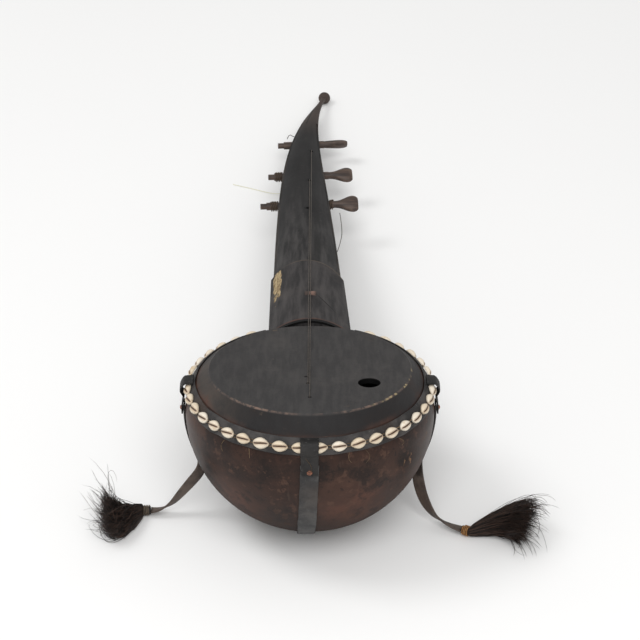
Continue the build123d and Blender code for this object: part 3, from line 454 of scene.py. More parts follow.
def thread_finish(name, dark, light, twist):
    """Twisted thread: fine slanted plies, read from the piece's own UV map."""
    finish = Finish(name, Specular_IOR_Level=0.2)
    uv = finish.add("ShaderNodeUVMap", {"uv_map": "UVMap"})
    ply = ((finish.axis("X", uv) * twist + finish.axis("Y", uv) * 2.0) * (2 * np.pi)).sine() * 0.5 + 0.5
    cloud = finish.noise(140.0, 4.0, 0.6)
    colour = finish.mix(ply * 0.7 + cloud * 0.4 - 0.1, dark, light)
    return finish.paint(colour, 0.75 + cloud * 0.15, ply * 0.6 + cloud * 0.4, 0.0003, 0.7)


def quads(rows, columns):
    """The four point numbers of each quad of a grid whose last column joins its first."""
    index = np.arange(rows * columns).reshape(rows, columns)
    return np.stack([np.roll(index, (-down, -right), (0, 1)) for down, right in CORNERS], -1)[:-1]


def new_piece(name, points, faces, material):
    """A smooth-shaded object from points and quads, linked into the scene."""
    mesh = bpy.data.meshes.new(name)
    mesh.from_pydata(points.reshape(-1, 3).tolist(), [], faces.reshape(-1, 4).tolist())
    mesh.shade_smooth()
    mesh.materials.append(material)
    piece = bpy.data.objects.new(name, mesh)
    scene.collection.objects.link(piece)
    return piece


def grid_object(name, points, material, closed=True):
    """An object whose quads join a grid of points, with its row and column shares as a UV map."""
    rows, columns = points.shape[:2]
    across = columns if closed else columns - 1
    piece = new_piece(name, points, quads(rows, columns)[:, :across], material)
    shares = np.stack(np.meshgrid(np.arange(rows - 1), np.arange(across), indexing="ij"), -1)
    uvs = np.stack([(shares + corner) / (rows, columns) for corner in CORNERS], -2)
    layer = piece.data.uv_layers.new(name="UVMap")
    layer.uv.foreach_set("vector", uvs.reshape(-1).astype(np.float32))
    return piece


def unit(vectors):
    """The vectors of an array, each brought to length 1."""
    return vectors / (np.linalg.norm(vectors, axis=-1, keepdims=True) + 1e-12)


def round_tube(path, radius):
    """A grid of circles, each across the path's direction, with both ends closed to a point."""
    ahead = unit(np.gradient(path, axis=0))
    first = unit(np.cross(ahead, [0.31, 0.22, 0.92]))
    second = np.cross(first, ahead)
    turn = np.linspace(0, 2 * np.pi, TUBE_SIDES, endpoint=False)[None, :, None]
    rings = path[:, None] + radius * (np.cos(turn) * first[:, None] + np.sin(turn) * second[:, None])
    low = np.repeat(path[:1, None], TUBE_SIDES, 1)
    high = np.repeat(path[-1:, None], TUBE_SIDES, 1)
    return np.concatenate([low, rings, high])


def helix(place, forward, upward, radius, pitch, turns, rng=None):
    """A coil about an axis: the radius turns steadily while the place moves on by the pitch each turn.

    With a random source the turns also wander a little along the axis, as hand-wound cord does.
    """
    angle = np.linspace(0, 2 * np.pi * turns, COIL_STEPS * turns + 1)[:, None]
    sideways = np.cross(forward, upward)
    wander = 0.0 if rng is None else rng.normal(0, 0.00006, (len(angle), 1)).cumsum(0) * 0.4
    ring = radius * (np.cos(angle) * upward + np.sin(angle) * sideways)
    return place + forward * (angle * pitch / (2 * np.pi) + wander) + ring


def peg_coil(name, body, wire, pitch, turns, material):
    """A coil round a peg's shaft, centred on its CAD node's box."""
    rng = np.random.default_rng(len(name))
    low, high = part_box(name)
    middle = (np.array(low) + np.array(high)) / 2 - peg_places[body]
    start = middle @ PEG_AXIS - turns * pitch / 2
    radius = PEG_RADIUS + COIL_GAP + wire / 2
    line = helix(peg_places[body] + PEG_AXIS * start, PEG_AXIS, TOP_UP, radius, pitch, turns, rng)
    coil = grid_object(name + "_coil", round_tube(line, wire / 2), material)
    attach(coil, body)
    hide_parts(name)


string_wire = wire_metal("string_wire", 0.55, 500.0, (0.05, 0.042, 0.036), (0.14, 0.116, 0.094), 0.45, 0.0001)
peg_cord = thread_finish("peg_cord", (0.03, 0.022, 0.018), (0.12, 0.085, 0.06), 40.0)
for name in ("string_first", "string_second"):
    dress(name, string_wire)
# Each coil: its CAD node, its peg, the wire's thickness, the pitch, the turns and the material.
coils = (
    ("winding_upper", "upper_peg", 0.0007, 0.0012, 5, string_wire),
    ("winding_middle", "middle_peg", 0.0007, 0.0012, 5, string_wire),
    ("wrap_middle_tail", "middle_peg", 0.0014, 0.0019, 4, peg_cord),
    ("wrap_lower_tail", "lower_peg", 0.0014, 0.0019, 4, peg_cord),
    ("wrap_lower_head", "lower_peg", 0.0014, 0.0019, 2, peg_cord),
)
for coil in coils:
    peg_coil(*coil)

# Rim band
# A strip of dark leather glued round the gourd's shoulder under the shells, from one side of the collar to
# the other. Its edges were cut by hand and its grain is rubbed grey.
SKIN_GAP = 0.0003
SHOULDER_CENTRE = GOURD_RADIUS - SHOULDER_RADIUS
BAND_INNER = SHOULDER_RADIUS + SKIN_GAP
LEATHER = 0.0018
BAND_LOW = 20.0
BAND_HIGH = 41.0
BAND_STEPS = 220
COLLAR_HALF = 0.0458
SECTION_POINTS = 22


def outward(azimuth):
    """The level direction away from the gourd's axis at an azimuth in degrees from +X."""
    turn = np.radians(azimuth)[..., None]
    return SIDE * np.cos(turn) + AHEAD * np.sin(turn)


def body_point(azimuth, radius, height):
    """A point from the gourd's axis: azimuth, distance from the axis, and height over the widest line."""
    level = outward(azimuth) * np.asarray(radius)[..., None]
    return GOURD_CENTRE + level + AXIS * np.asarray(height)[..., None]


def shoulder_point(azimuth, reach, angle):
    """A point at a distance and an angle, in degrees, from the shoulder arc's centre."""
    turn = np.radians(angle)
    return body_point(azimuth, SHOULDER_CENTRE + reach * np.cos(turn), reach * np.sin(turn))


def flat_section(columns):
    """A rounded rectangle from -1 to 1 both ways, as a superellipse of power 5."""
    turn = np.linspace(0, 2 * np.pi, columns, endpoint=False)
    x, y = np.cos(turn), np.sin(turn)
    return np.sign(x) * np.abs(x) ** 0.4, np.sign(y) * np.abs(y) ** 0.4


def wobble(count, size, seed):
    """A smooth hand-cut waver along an edge: a sum of nine sine waves with seeded phases and rates."""
    waves = 9
    rng = np.random.default_rng(seed)
    place = np.linspace(0, 2 * np.pi, count)
    phases = rng.uniform(0, 2 * np.pi, waves)
    rates = rng.uniform(2, 26, waves)
    return size * sum(np.sin(place * rate + phase) for rate, phase in zip(rates, phases)) / np.sqrt(waves)


def cut_edges(across, count, sizes, seed):
    """A waver for a strip's two edges: the first size where across is above 0, the second elsewhere."""
    upper, lower = (wobble(count, size, seed + step)[:, None] for step, size in enumerate(sizes))
    return np.where(across > 0, upper, lower)


def leather(name, dark, light, brown):
    """Clouded between dark and light, browner in wide patches, with pale rubs and pores."""
    finish = Finish(name, Specular_IOR_Level=0.35)
    dots = {"Vector": finish.place, "Scale": 900.0}
    pores = finish.add("ShaderNodeTexVoronoi", {"feature": "F1"}, dots, "Distance")
    cloud = finish.noise(45.0, 5.0, 0.62)
    fine = finish.noise(380.0, 4.0, 0.6)
    wide = finish.noise(14.0, 4.0, 0.55)
    colour = finish.layers(
        dark,
        (cloud.between(0.38, 0.66), light),
        (wide.between(0.52, 0.66) * 0.6, brown),
        (fine.between(0.6, 0.74) * 0.4, (0.13, 0.12, 0.115)),
    )
    return finish.paint(colour, 0.5 + cloud * 0.25, cloud * 0.5 + fine * 0.35 + pores * 0.3, 0.0007, 0.65)


def closed_ends(points):
    """The grid with a ring drawn to a point added at either end, so that both are shut."""
    low = np.repeat(points[:1].mean(1, keepdims=True), points.shape[1], 1)
    high = np.repeat(points[-1:].mean(1, keepdims=True), points.shape[1], 1)
    return np.concatenate([low, points, high])


def rim_band():
    """A flat section carried round the shoulder arc, from one side of the collar to the other."""
    high = SHOULDER_CENTRE + (BAND_INNER + LEATHER) * np.cos(np.radians(BAND_HIGH))
    opening = np.degrees(np.arcsin(COLLAR_HALF / high))
    azimuth = np.linspace(450 - opening, 90 + opening, BAND_STEPS)[:, None]
    across, out = flat_section(SECTION_POINTS)
    middle, half = (BAND_LOW + BAND_HIGH) / 2, (BAND_HIGH - BAND_LOW) / 2
    angle = middle + across * half + cut_edges(across, BAND_STEPS, (0.35, 0.5), 1) * np.abs(across)
    reach = BAND_INNER + LEATHER / 2 + out * LEATHER / 2
    return closed_ends(shoulder_point(azimuth, reach, angle))


band_leather = leather("band_leather", (0.019, 0.0178, 0.018), (0.058, 0.053, 0.051), (0.045, 0.028, 0.02))
band = grid_object("leather_band", rim_band(), band_leather)
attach(band, "root")
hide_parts("rim_band")

# Cowrie shells
# Money cowries sewn side by side on the band with the slit outwards, each an egg-shaped dome with a toothed
# slit along its length. They are ivory, stained tan between the teeth and at the rims.
SHELL_LENGTH = 0.0175
SHELL_WIDTH = 0.0115
SHELL_ANGLE = 29.0
SHELL_COUNT = 34
SHELL_BASE = BAND_INNER + LEATHER + SKIN_GAP
SHELL_RING = SHOULDER_CENTRE + SHELL_BASE * np.cos(np.radians(SHELL_ANGLE))
SHELL_OPENING = np.degrees(np.arcsin((COLLAR_HALF + SHELL_WIDTH / 2) / SHELL_RING))
SHELL_SPAN = 360 - 2 * SHELL_OPENING
SLIT_WIDTH = 0.00105
SLIT_DEPTH = 0.0015
LIP_PLACE = 0.0016
LIP_WIDTH = 0.0009
TOOTH_PITCH = 0.00115
TOOTH_DEPTH = 0.0003


def cowrie_shells():
    """A dome over an egg outline on a polar grid, with a groove along its length and teeth across its lips.

    Each shell is that dome with a small roll, a size and a direction of its own, set on the band.
    """
    rings, spokes = 15, 40
    rng = np.random.default_rng(7)
    out = np.linspace(0, 1, rings)[:, None] ** 0.8
    turn = np.linspace(0, 2 * np.pi, spokes, endpoint=False)[None]
    x = out * np.cos(turn)
    y = out * np.sin(turn)
    blunt = (1 + 0.12 * x) * (1 - 0.3 * x**2)
    length = x * SHELL_LENGTH / 2
    width = y * SHELL_WIDTH / 2 * blunt
    lift = 0.93 * SHELL_WIDTH / 2 * np.sqrt(np.clip(1 - out**2.6, 0, 1))
    bend = width - 0.0006 * np.sin(x * 2.2)
    groove = np.exp(-((bend / SLIT_WIDTH) ** 2)) * np.clip(1.25 - np.abs(x) ** 4 * 1.3, 0, 1)
    lips = np.exp(-(((np.abs(bend) - LIP_PLACE) / LIP_WIDTH) ** 2))
    teeth = lips * (0.5 + 0.5 * np.cos(length / TOOTH_PITCH * 2 * np.pi)) * (np.abs(x) < 0.86)
    lift = np.maximum(lift - SLIT_DEPTH * groove - TOOTH_DEPTH * teeth, 0)
    length, width, lift = length[..., None], width[..., None], lift[..., None]
    slit = np.concatenate([np.maximum(groove, teeth * 0.55), np.zeros_like(groove[:1])])
    tip = np.radians(SHELL_ANGLE)
    shapes, tints = [], []
    for index in range(SHELL_COUNT):
        azimuth = 90 + SHELL_OPENING + (index + 0.5) * SHELL_SPAN / SHELL_COUNT
        radial = outward(azimuth)
        normal = radial * np.cos(tip) + AXIS * np.sin(tip)
        tangent = np.cross(radial, AXIS)
        upward = np.cross(normal, tangent)
        roll = rng.normal(0, 0.05)
        along = tangent * np.cos(roll) + upward * np.sin(roll)
        aside = upward * np.cos(roll) - tangent * np.sin(roll)
        flip = 1 if rng.random() < 0.7 else -1
        size = rng.uniform(0.88, 0.98)
        base = shoulder_point(azimuth, SHELL_BASE, SHELL_ANGLE)
        shape = base + size * (flip * length * along + flip * width * aside + lift * normal)
        shapes.append(np.concatenate([shape, np.broadcast_to(base, (1, spokes, 3))]))
        tints.append(np.full((rings + 1, spokes), rng.random()))
    return np.array(shapes), np.repeat(slit[None], SHELL_COUNT, 0), np.array(tints)


def shell_finish():
    finish = Finish("cowrie", Specular_IOR_Level=0.5, Coat_Roughness=0.15)
    slit = finish.attribute("slit")
    tint = finish.attribute("tint")
    cloud = finish.noise(170.0, 4.0, 0.6)
    fine = finish.noise(700.0, 3.0, 0.6)
    colour = finish.layers(
        (0.66, 0.55, 0.4),
        (tint * 0.8 + cloud * 0.3 - 0.1, (0.8, 0.74, 0.64)),
        (cloud.between(0.54, 0.7) * 0.5, (0.5, 0.36, 0.2)),
        (slit.between(0.04, 0.4) * 0.5, (0.34, 0.2, 0.1)),
        (slit.between(0.3, 0.75), (0.07, 0.034, 0.017)),
    )
    return finish.paint(colour, 0.28 + cloud * 0.2, fine * 0.4 + cloud * 0.4, 0.0003, 0.4)


def joined_grids(name, grids, material, **attributes):
    """One object from a stack of equal grids, with a number at each point for the material to read."""
    count, rows, columns = grids.shape[:3]
    faces = quads(rows, columns) + np.arange(count)[:, None, None, None] * rows * columns
    piece = new_piece(name, grids, faces, material)
    for key, values in attributes.items():
        layer = piece.data.attributes.new(key, "FLOAT", "POINT")
        layer.data.foreach_set("value", values.reshape(-1).astype(np.float32))
    return piece


shell_grids, shell_slits, shell_tints = cowrie_shells()
shells = joined_grids("cowrie_shells", shell_grids, shell_finish(), slit=shell_slits, tint=shell_tints)
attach(shells, "root")
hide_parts("cowries")

# Sewing thread
# The shells are held by stitches of tan thread between them, and a few ends of it have worked loose and curl
# away from the band.
STITCH_RADIUS = 0.00042
LOOSE_RADIUS = 0.00026
STITCH_RISE = 0.0011
LOOSE_AZIMUTHS = np.array([-65.0, -72.0, -93.5, -47.0, -118.0, -131.0])[:, None]
LOOSE_DROPS = np.array([17.0, 13.0, 24.0, 10.0, 12.0, 15.0])[:, None]
LOOSE_START = 21.0
STRAND_TURNS = np.array([0.0, 2.1, 4.2])


def strand_grid(lines, widths):
    """Three-sided tubes about many lines at once, pointed at both ends: lines is (strands, steps, 3)."""
    ahead = unit(np.gradient(lines, axis=1))
    first = unit(np.cross(ahead, [0.3, 0.2, 0.93]))
    second = np.cross(first, ahead)
    turn = STRAND_TURNS[None, None, :, None]
    ring = np.cos(turn) * first[:, :, None] + np.sin(turn) * second[:, :, None]
    pointed = np.ones(lines.shape[1])
    pointed[[0, -1]] = 0.0
    return lines[:, :, None] + (widths * pointed)[:, :, None, None] * ring


def sewing_finish():
    finish = Finish("sewing_thread", Specular_IOR_Level=0.2)
    tint = finish.attribute("tint")
    cloud = finish.noise(300.0)
    colour = finish.mix(tint * 0.7 + cloud * 0.4, (0.05, 0.034, 0.022), (0.22, 0.15, 0.085))
    return finish.paint(colour, 0.8 + cloud * 0.1, cloud, 0.0002, 0.5)


def stitches():
    """Two short arches over each gap between shells, and loose ends that curl down and off the skin."""
    rng = np.random.default_rng(31)
    share = np.linspace(0, 1, 9)
    gaps = 90 + SHELL_OPENING + np.arange(1, SHELL_COUNT) * SHELL_SPAN / SHELL_COUNT
    gaps = np.repeat(gaps, 2) + rng.normal(0, 0.25, 2 * len(gaps))
    middle = SHELL_ANGLE + np.tile([1.6, -1.6], len(gaps) // 2) + rng.normal(0, 0.5, len(gaps))
    azimuth = gaps[:, None] + (share - 0.5) * 2.6
    reach = SHELL_BASE - 0.0001 + STITCH_RISE * np.sin(np.pi * share)[None]
    tight = shoulder_point(azimuth, reach, middle[:, None])
    ends = LOOSE_AZIMUTHS.shape
    bend = rng.uniform(-5, 5, ends)
    turn = LOOSE_AZIMUTHS + bend * np.sin(share * 2.6)[None] + rng.uniform(-2, 2, ends) * share
    away = SHELL_BASE + 0.0012 + rng.uniform(0.001, 0.004, ends) * np.sin(np.pi * share * 0.9)[None]
    loose = shoulder_point(turn, away, LOOSE_START - LOOSE_DROPS * share)
    lines = np.concatenate([tight, loose])
    widths = np.repeat([STITCH_RADIUS, LOOSE_RADIUS], [len(tight), len(loose)])[:, None]
    tints = np.repeat(rng.random((len(lines), 1)), lines.shape[1] * len(STRAND_TURNS), 1)
    return strand_grid(lines, widths), tints


stitch_grids, stitch_tints = stitches()
sewing = joined_grids("sewing", stitch_grids, sewing_finish(), tint=stitch_tints)
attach(sewing, "root")

# Straps and tabs
# A worn leather strap runs from the front under the gourd to the neck's heel, and shorter ones hang at the
# sides. Each starts under a tab that comes down from the band over the shells and is held by a rivet.
STRAP_STEPS = 120
STRAP_HIGH = 8.0
FRONT_STRAP_LOW = -168.0
SIDE_STRAP_LOW = -26.0
TAB_STEPS = 60
TAB_HIGH = 40.5
TAB_SWEEP = 44.5
TAB_RISE = 0.0067
TAB_HALF_WIDTH = 0.009
TAB_HALF_THICKNESS = 0.0008


def skin_line(angle, height):
    """Radius and height of a line over the skin: the shoulder arc above the widest line, the sphere below."""
    turn = np.radians(angle)
    shoulder, ball = SHOULDER_RADIUS + height, GOURD_RADIUS + height
    radius = np.where(angle > 0, SHOULDER_CENTRE + shoulder * np.cos(turn), ball * np.cos(turn))
    return radius, np.where(angle > 0, shoulder * np.sin(turn), ball * np.sin(turn))


def strap_grid(azimuth, low, width, seed, slip):
    """A flat section carried down the skin, with hand-cut edges; its middle slips a little to the left."""
    angle = np.linspace(STRAP_HIGH, low, STRAP_STEPS)[:, None]
    across, out = flat_section(SECTION_POINTS)
    edge = 1 + cut_edges(across, STRAP_STEPS, (0.02, 0.02), seed)
    radius, up = skin_line(angle, SKIN_GAP + LEATHER / 2 + out * LEATHER / 2)
    sideways = np.cross(outward(azimuth), AXIS)
    slant = -slip * np.sin(np.pi * np.clip(angle / low, 0, 1))
    points = body_point(azimuth, radius, up)
    points = points + sideways * (across * width / 2 * edge)[..., None] + SIDE * slant[..., None]
    points[..., 2] = np.maximum(points[..., 2], 0.0)
    return closed_ends(points)


def tab_grid(azimuth, seed):
    """A flat section that leaves the band, arches over the shells and lies down on the strap."""
    share = np.linspace(0, 1, TAB_STEPS)[:, None]
    angle = TAB_HIGH - share * TAB_SWEEP
    hump = np.exp(-(((angle - SHELL_ANGLE) / 8.6) ** 4))
    across, out = flat_section(SECTION_POINTS)
    reach = SHELL_BASE + TAB_RISE * hump + TAB_HALF_THICKNESS + out * TAB_HALF_THICKNESS
    edge = 1 + cut_edges(across, TAB_STEPS, (0.03, 0.03), seed)
    sideways = np.cross(outward(azimuth), AXIS)
    taper = 1 - 0.12 * share**2
    points = shoulder_point(azimuth, reach, angle)
    return closed_ends(points + sideways * (across * TAB_HALF_WIDTH * edge * taper)[..., None])


def rusty_iron():
    finish = Finish("rusty_iron", Metallic=0.3)
    cloud = finish.noise(420.0, 5.0, 0.65)
    colour = finish.mix(cloud.between(0.4, 0.62), (0.07, 0.03, 0.02), (0.3, 0.12, 0.07))
    return finish.paint(colour, 0.6 + cloud * 0.2, cloud, 0.0004, 0.7)


strap_leather = leather("strap_leather", (0.022, 0.0215, 0.022), (0.072, 0.069, 0.067), (0.05, 0.039, 0.033))
tab_leather = leather("tab_leather", (0.006, 0.0055, 0.0053), (0.02, 0.018, 0.017), (0.014, 0.0098, 0.0075))
# Each strap: its side, azimuth, lower end in degrees, width, seed, slip to the left and leather.
straps = (
    ("front", -90.0, FRONT_STRAP_LOW, 0.018, 11, 0.0045, strap_leather),
    ("left", 180.0, SIDE_STRAP_LOW, 0.012, 13, 0.0, band_leather),
    ("right", 0.0, SIDE_STRAP_LOW, 0.012, 17, 0.0, band_leather),
)
for side, azimuth, low, width, seed, slip, hide in straps:
    strap = grid_object(f"{side}_strap_leather", strap_grid(azimuth, low, width, seed, slip), hide)
    tab = grid_object(f"{side}_tab_leather", tab_grid(azimuth, seed + 5), tab_leather)
    for piece, node in ((strap, f"{side}_strap"), (tab, f"{side}_tab")):
        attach(piece, "root")
        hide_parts(node)

dress("tab_rivets", rusty_iron())

# Free straps
# The ends of the side straps hang off the gourd and lie out along the floor to a tassel each. They are flat
# leather, so each is a ribbon that follows its route's smooth line.
FREE_WIDTH = 0.011
FREE_THICKNESS = 0.0021
FREE_LEAD = 0.014
RIBBON_POINTS = 18
CUP_DEPTH = 0.0004


def smooth_line(name, points):
    """A NURBS curve that has the route's points as its control points."""
    curve = bpy.data.curves.new(name, "CURVE")
    curve.dimensions = "3D"
    spline = curve.splines.new("NURBS")
    spline.points.add(len(points) - 1)
    spline.points.foreach_set("co", np.c_[np.array(points), np.ones(len(points))].reshape(-1))
    spline.order_u = 3
    spline.use_endpoint_u = True
    spline.resolution_u = 10
    return curve


def line_points(curve):
    """The points that Blender draws a curve with, in order."""
    holder = bpy.data.objects.new(curve.name + "_line", curve)
    mesh = bpy.data.meshes.new_from_object(holder)
    line = np.empty(len(mesh.vertices) * 3, np.float32)
    mesh.vertices.foreach_get("co", line)
    bpy.data.objects.remove(holder)
    bpy.data.meshes.remove(mesh)
    return line.reshape(-1, 3).astype(float)


def line_length(line):
    """The sum of the distances from each point to the next."""
    return float(np.linalg.norm(np.diff(line, axis=0), axis=1).sum())


def strap_foot(azimuth):
    """Where a side strap ends on the gourd, the direction it runs in and the direction across it."""
    low = np.radians(SIDE_STRAP_LOW)
    radial = outward(azimuth)
    running = radial * np.sin(low) - AXIS * np.cos(low)
    reach = GOURD_RADIUS + SKIN_GAP + LEATHER / 2
    end = GOURD_CENTRE + reach * (radial * np.cos(low) + AXIS * np.sin(low))
    return end + running * SKIN_GAP, running, np.cross(radial, AXIS)


def ribbon_grid(line, across, width, thickness, twist):
    """A flat section carried along a line, square to it.

    It turns as a sine does, to its full twist a little over a third of the way along, and back by the end.
    """
    ahead = unit(np.gradient(line, axis=0))
    flat = unit(across - (ahead @ across)[:, None] * ahead)
    facing = np.cross(flat, ahead)
    x, y = flat_section(RIBBON_POINTS)
    share = np.linspace(0, 1, len(line))[:, None]
    turn = -twist * np.sin(np.pi * np.minimum(share * 1.4, 0.5 + (share - 0.357) * 0.78))
    sideways = np.cos(turn) * flat + np.sin(turn) * facing
    facing = np.cos(turn) * facing - np.sin(turn) * flat
    narrow = 1 - 0.18 * share**2
    cup = -CUP_DEPTH * (x**2)[None] * np.sin(share * 9)
    offset = (x * width / 2 * narrow)[..., None] * sideways[:, None]
    rise = ((y * thickness / 2)[None] + cup)[..., None] * facing[:, None]
    return closed_ends(line[:, None] + offset + rise)


free_hide = leather("free_strap_leather", (0.035, 0.026, 0.022), (0.11, 0.082, 0.066), (0.07, 0.043, 0.031))
# Each free strap: its side, the azimuth it leaves the gourd at, its twist and its way to the tassel.
free_straps = (
    ("left", 180.0, 1.15, [(-0.124, -0.012, 0.035), (-0.147, -0.0136, 0.0062), (-0.162, -0.014, 0.0062)]),
    ("right", 0.0, -1.1, [(0.114, -0.023, 0.024), (0.132, -0.034, 0.0062), (0.1535, -0.045, 0.0062)]),
)
ribbons = {}
for side, azimuth, twist, way in free_straps:
    foot, running, across = strap_foot(azimuth)
    route = [foot, foot + running * FREE_LEAD, *way]
    line = line_points(smooth_line(f"{side}_free_route", route))
    grid = ribbon_grid(line, across, FREE_WIDTH * 1.2, FREE_THICKNESS, twist)
    ribbon = grid_object(f"{side}_free_leather", grid, free_hide)
    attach(ribbon, "root")
    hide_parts(f"{side}_free_strap")
    ribbons[side] = (ribbon, line, route)

# Tassels
# Bunches of dark horse hair bound to the strap's end with a few turns of thread, fanned out on the floor.
# The left one is short and bushy; the right one is combed into a longer cone with frayed ends.
ROOT_RADIUS = 0.0042
ROOT_LENGTH = 0.009
ROOT_GAP = 0.0003
HAIR_STEPS = 18
HAIR_FLOOR = 0.0004
CORE_FLOOR = 0.0003
BINDING_START = 0.0012
BINDING_GAP = 0.0007
BINDING_PITCH = 0.0017
BINDING_TURNS = 4
BINDING_RADIUS = 0.0006
UP = np.array([0.0, 0.0, 1.0])


def hair_finish():
    finish = Finish("horse_hair", Specular_IOR_Level=0.3)
    tint = finish.attribute("tint")
    cloud = finish.noise(260.0)
    colour = finish.mix(tint.between(0.2, 0.98), (0.0095, 0.0062, 0.0052), (0.075, 0.044, 0.032))
    return finish.paint(colour, 0.48 + tint * 0.2, cloud, 0.0002, 0.4)


def hair_middle(reach, swing, lift, rise):
    """How far aside and up the middle lies at a share of the length: it bows out, and its end turns up."""
    return swing * np.sin(2.3 * np.minimum(reach, 1.3)), lift * reach + rise * np.minimum(reach, 1.05) ** 3


def hair_lines(place, ahead, length, spread, middle, fullness, count, rng, fray):
    """Strands that start on a sunflower pattern in the root, fan out to an oval round the middle, and wave.

    The oval grows with a power of the share of the length. About one strand in seventeen is long and loose.
    """
    index = np.arange(count)
    around = index * np.pi * (3 - np.sqrt(5)) + rng.normal(0, 0.25, count)
    out = np.sqrt((index + 0.5) / count)
    x, y = out * np.cos(around), out * np.sin(around)
    share = np.linspace(0, 1, HAIR_STEPS)[None]
    loose = rng.random(count) < 0.06
    reach = np.where(loose, rng.uniform(1.0, 1.3, count), rng.uniform(0.66, 1.04, count))[:, None] * share
    flow = reach**fullness
    wave = rng.normal(0, 1, (count, 1)) * fray * np.where(loose, 2.2, 1.0)[:, None] * reach**1.5
    rate = np.where(loose, rng.uniform(2, 5, count), rng.uniform(3, 11, count) * fray / 0.003)[:, None]
    phase = rng.uniform(0, 6.3, (count, 1))
    aside, height = hair_middle(reach, *middle)
    wide, high = (ROOT_RADIUS + flow * (half - ROOT_RADIUS) for half in spread)
    across = x[:, None] * wide + aside + wave * np.sin(rate * reach + phase)
    up = y[:, None] * high + height + 0.7 * wave * np.cos(rate * reach + phase)
    along = ROOT_LENGTH * 0.8 + reach * length + 0.5 * wave * np.cos(rate * reach - phase)
    lines = place + along[..., None] * ahead + across[..., None] * np.cross(UP, ahead)
    lines[..., 2] = np.maximum(lines[..., 2] + up, HAIR_FLOOR)
    return lines


def hair_core(place, ahead, length, spread, middle):
    """The bunch's dark inside: an oval that starts at the bound root, widens, bows aside and rounds off."""
    share = np.linspace(0, 1, 24)[:, None]
    turn = np.linspace(2 * np.pi, 0, 28, endpoint=False)[None]
    reach = 0.78 * np.clip((share - 0.2) / 0.8, 0, 1)
    lumps = 1 + 0.07 * np.sin(turn * 5 + share * 9) + 0.05 * np.sin(turn * 9)
    close = np.sqrt(np.clip(1 - share**8, 0, 1)) * lumps
    wide, high = (ROOT_RADIUS + reach * (0.72 * half - ROOT_RADIUS) for half in spread)
    aside, height = hair_middle(reach, *middle)
    across = wide * close * np.cos(turn) + aside
    up = high * close * np.sin(turn) + height
    along = ROOT_LENGTH * np.minimum(share / 0.2, 1) + reach * length
    points = place + along[..., None] * ahead + across[..., None] * np.cross(UP, ahead)
    points[..., 2] = np.maximum(points[..., 2] + up, CORE_FLOOR)
    return closed_ends(points)


hair = hair_finish()
# Each binding thread's dark and light colour, and each tassel: its side, length, half width and half height,
# the middle's bow aside, lift and upturn, the fan's power, the strands, the seed and the size of their waves.
binding_colours = {
    "left": ((0.05, 0.04, 0.03), (0.16, 0.12, 0.085)),
    "right": ((0.17, 0.075, 0.025), (0.46, 0.25, 0.1)),
}
tassels = (
    ("left", 0.041, (0.025, 0.018), (0.024, 0.008, 0.009), 0.5, 1800, 21, 0.0072),
    ("right", 0.059, (0.028, 0.023), (0.025, 0.016, 0.003), 0.7, 1900, 22, 0.0036),
)
for side, length, spread, middle, fullness, count, seed, fray in tassels:
    ribbon, line, route = ribbons[side]
    end = np.array(route[-1])
    ahead = end - np.array(route[-2])
    ahead /= np.linalg.norm(ahead)
    place = end + ahead * ROOT_GAP
    rng = np.random.default_rng(seed)
    lines = hair_lines(place, ahead, length, spread, middle, fullness, count, rng, fray)
    widths = rng.uniform(0.00026, 0.0005, (count, 1)) * np.linspace(1.0, 0.35, HAIR_STEPS)[None]
    tints = np.repeat(rng.random((count, 1)) ** 1.5, HAIR_STEPS * len(STRAND_TURNS), 1)
    tuft = joined_grids(f"{side}_hair", strand_grid(lines, widths), hair, tint=tints)
    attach(tuft, "root")
    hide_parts(f"{side}_tassel")
    core = grid_object(f"{side}_hair_core", hair_core(place, ahead, length, spread, middle), hair)
    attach(core, "root")
    start = place + ahead * BINDING_START
    coil = helix(start, ahead, UP, ROOT_RADIUS + BINDING_GAP, BINDING_PITCH, BINDING_TURNS)
    binding_thread = thread_finish(f"{side}_binding_thread", *binding_colours[side], 30.0)
    binding = grid_object(f"{side}_binding_thread", round_tube(coil, BINDING_RADIUS), binding_thread)
    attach(binding, "root")
    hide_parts(f"{side}_binding")

# Loose wire ends and thread
# Two bits of old string wire stick out beside the upper and lower peg and hold their bends, and a limp pale
# thread trails from the neck to the floor. All three end bare.
WIRE_DIAMETER = 0.0008
THREAD_DIAMETER = 0.0007

old_wire = wire_metal("old_wire", 0.25, 420.0, (0.03, 0.024, 0.02), (0.1, 0.078, 0.06), 0.55, 0.0002)
pale_thread = thread_finish("pale_thread", (0.66, 0.65, 0.48), (0.9, 0.88, 0.7), 60.0)
left_bends = (
    (-0.011, 0.716, -0.0184),
    (-0.022, 0.713, -0.014),
    (-0.0275, 0.702, -0.006),
    (-0.0294, 0.685, -0.0063),
)
right_bends = (
    (0.029, 0.35, -0.016),
    (0.0325, 0.369, -0.014),
    (0.0355, 0.41, -0.014),
    (0.0325, 0.466, -0.016),
)
thread_route = [
    (-0.012, 0.6, 0.0229),
    (-0.022, 0.598, 0.012),
    (-0.036, 0.596, 0.003),
    (-0.052, 0.603, 0.0009),
    (-0.072, 0.613, 0.0008),
    (-0.094, 0.622, 0.0008),
]
left_route, right_route = ([top_point(*bend) for bend in bends] for bends in (left_bends, right_bends))
loose_ends = (
    ("wire_left", left_route, WIRE_DIAMETER, old_wire, "string_wire", "stiff"),
    ("wire_right", right_route, WIRE_DIAMETER, old_wire, "string_wire", "stiff"),
    ("thread", thread_route, THREAD_DIAMETER, pale_thread, "thread", "limp"),
)
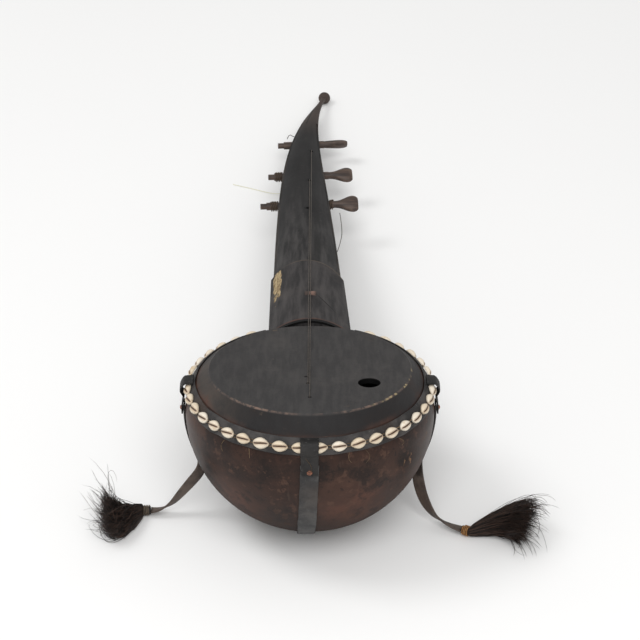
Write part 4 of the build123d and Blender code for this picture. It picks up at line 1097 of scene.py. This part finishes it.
for name, route, diameter, material, slot, stiffness in loose_ends:
    curve = smooth_line(name + "_line", route)
    length = line_length(line_points(curve))
    curve.bevel_depth = diameter / 2
    curve.bevel_resolution = 3
    curve.use_fill_caps = True
    curve.materials.append(material)
    piece = bpy.data.objects.new(name + "_end", curve)
    scene.collection.objects.link(piece)
    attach(piece, "root")
    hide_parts(name)

# Floor, light and camera
# A pale seamless floor under soft daylight from the upper left, and a long lens that looks down on the gourd
# from in front, as the photograph does.
FLOOR_HALF = 7.0
FLOOR_AHEAD = 3.0
FLOOR_LEVEL = -0.0002
IMAGE = 640.0
SENSOR = 36.0
FOCAL = 3000.0
CAMERA_DISTANCE = 3.0
GOURD_PIXEL = (310.0, 407.0)
RAY_ELEVATION = np.radians(36.15)


def floor_finish():
    finish = Finish("pale_floor", Specular_IOR_Level=0.1)
    cloud = finish.noise(2.0, 3.0, 0.5)
    return finish.paint(finish.mix(cloud, (0.9, 0.9, 0.9), (0.92, 0.92, 0.915)), 0.9)


floor_span = np.linspace(-FLOOR_HALF, FLOOR_HALF, 5)
floor_x, floor_y = np.meshgrid(floor_span[::-1], floor_span + FLOOR_AHEAD)
floor_points = np.stack([floor_x, floor_y, np.full_like(floor_x, FLOOR_LEVEL)], -1)
floor = grid_object("floor", floor_points, floor_finish(), closed=False)

world = bpy.data.worlds.new("soft_daylight")
scene.world = world
world.use_nodes = True
sky = world.node_tree.nodes["Background"]
sky.inputs["Color"].default_value = (1.0, 0.995, 0.985, 1.0)
sky.inputs["Strength"].default_value = 0.58


def soft_lamp(name, place, aim, size, power):
    data = bpy.data.lights.new(name, "AREA")
    data.shape = "DISK"
    data.size = size
    data.energy = power
    lamp = bpy.data.objects.new(name, data)
    lamp.location = place
    lamp.rotation_mode = "QUATERNION"
    lamp.rotation_quaternion = (Vector(aim) - Vector(place)).to_track_quat("-Z", "Y")
    scene.collection.objects.link(lamp)


soft_lamp("window", (-2.4, 0.2, 3.6), (0, 0.2, 0.1), 1.7, 41)
soft_lamp("front_fill", (0.2, -2.7, 3.5), (0, 0.1, 0.1), 3.2, 102)

camera_data = bpy.data.cameras.new("camera")
camera_data.sensor_width = SENSOR
camera_data.lens = SENSOR * FOCAL / IMAGE
camera = bpy.data.objects.new("camera", camera_data)
right_px, down_px = GOURD_PIXEL[0] - IMAGE / 2, GOURD_PIXEL[1] - IMAGE / 2
tilt = RAY_ELEVATION - np.arctan(down_px / FOCAL)
forward = np.array([0.0, np.cos(tilt), -np.sin(tilt)])
upward = np.array([0.0, np.sin(tilt), np.cos(tilt)])
step = CAMERA_DISTANCE / FOCAL
camera.location = GOURD_CENTRE - forward * CAMERA_DISTANCE - SIDE * right_px * step + upward * down_px * step
camera.rotation_euler = (np.pi / 2 - tilt, 0.0, 0.0)
scene.collection.objects.link(camera)
scene.camera = camera
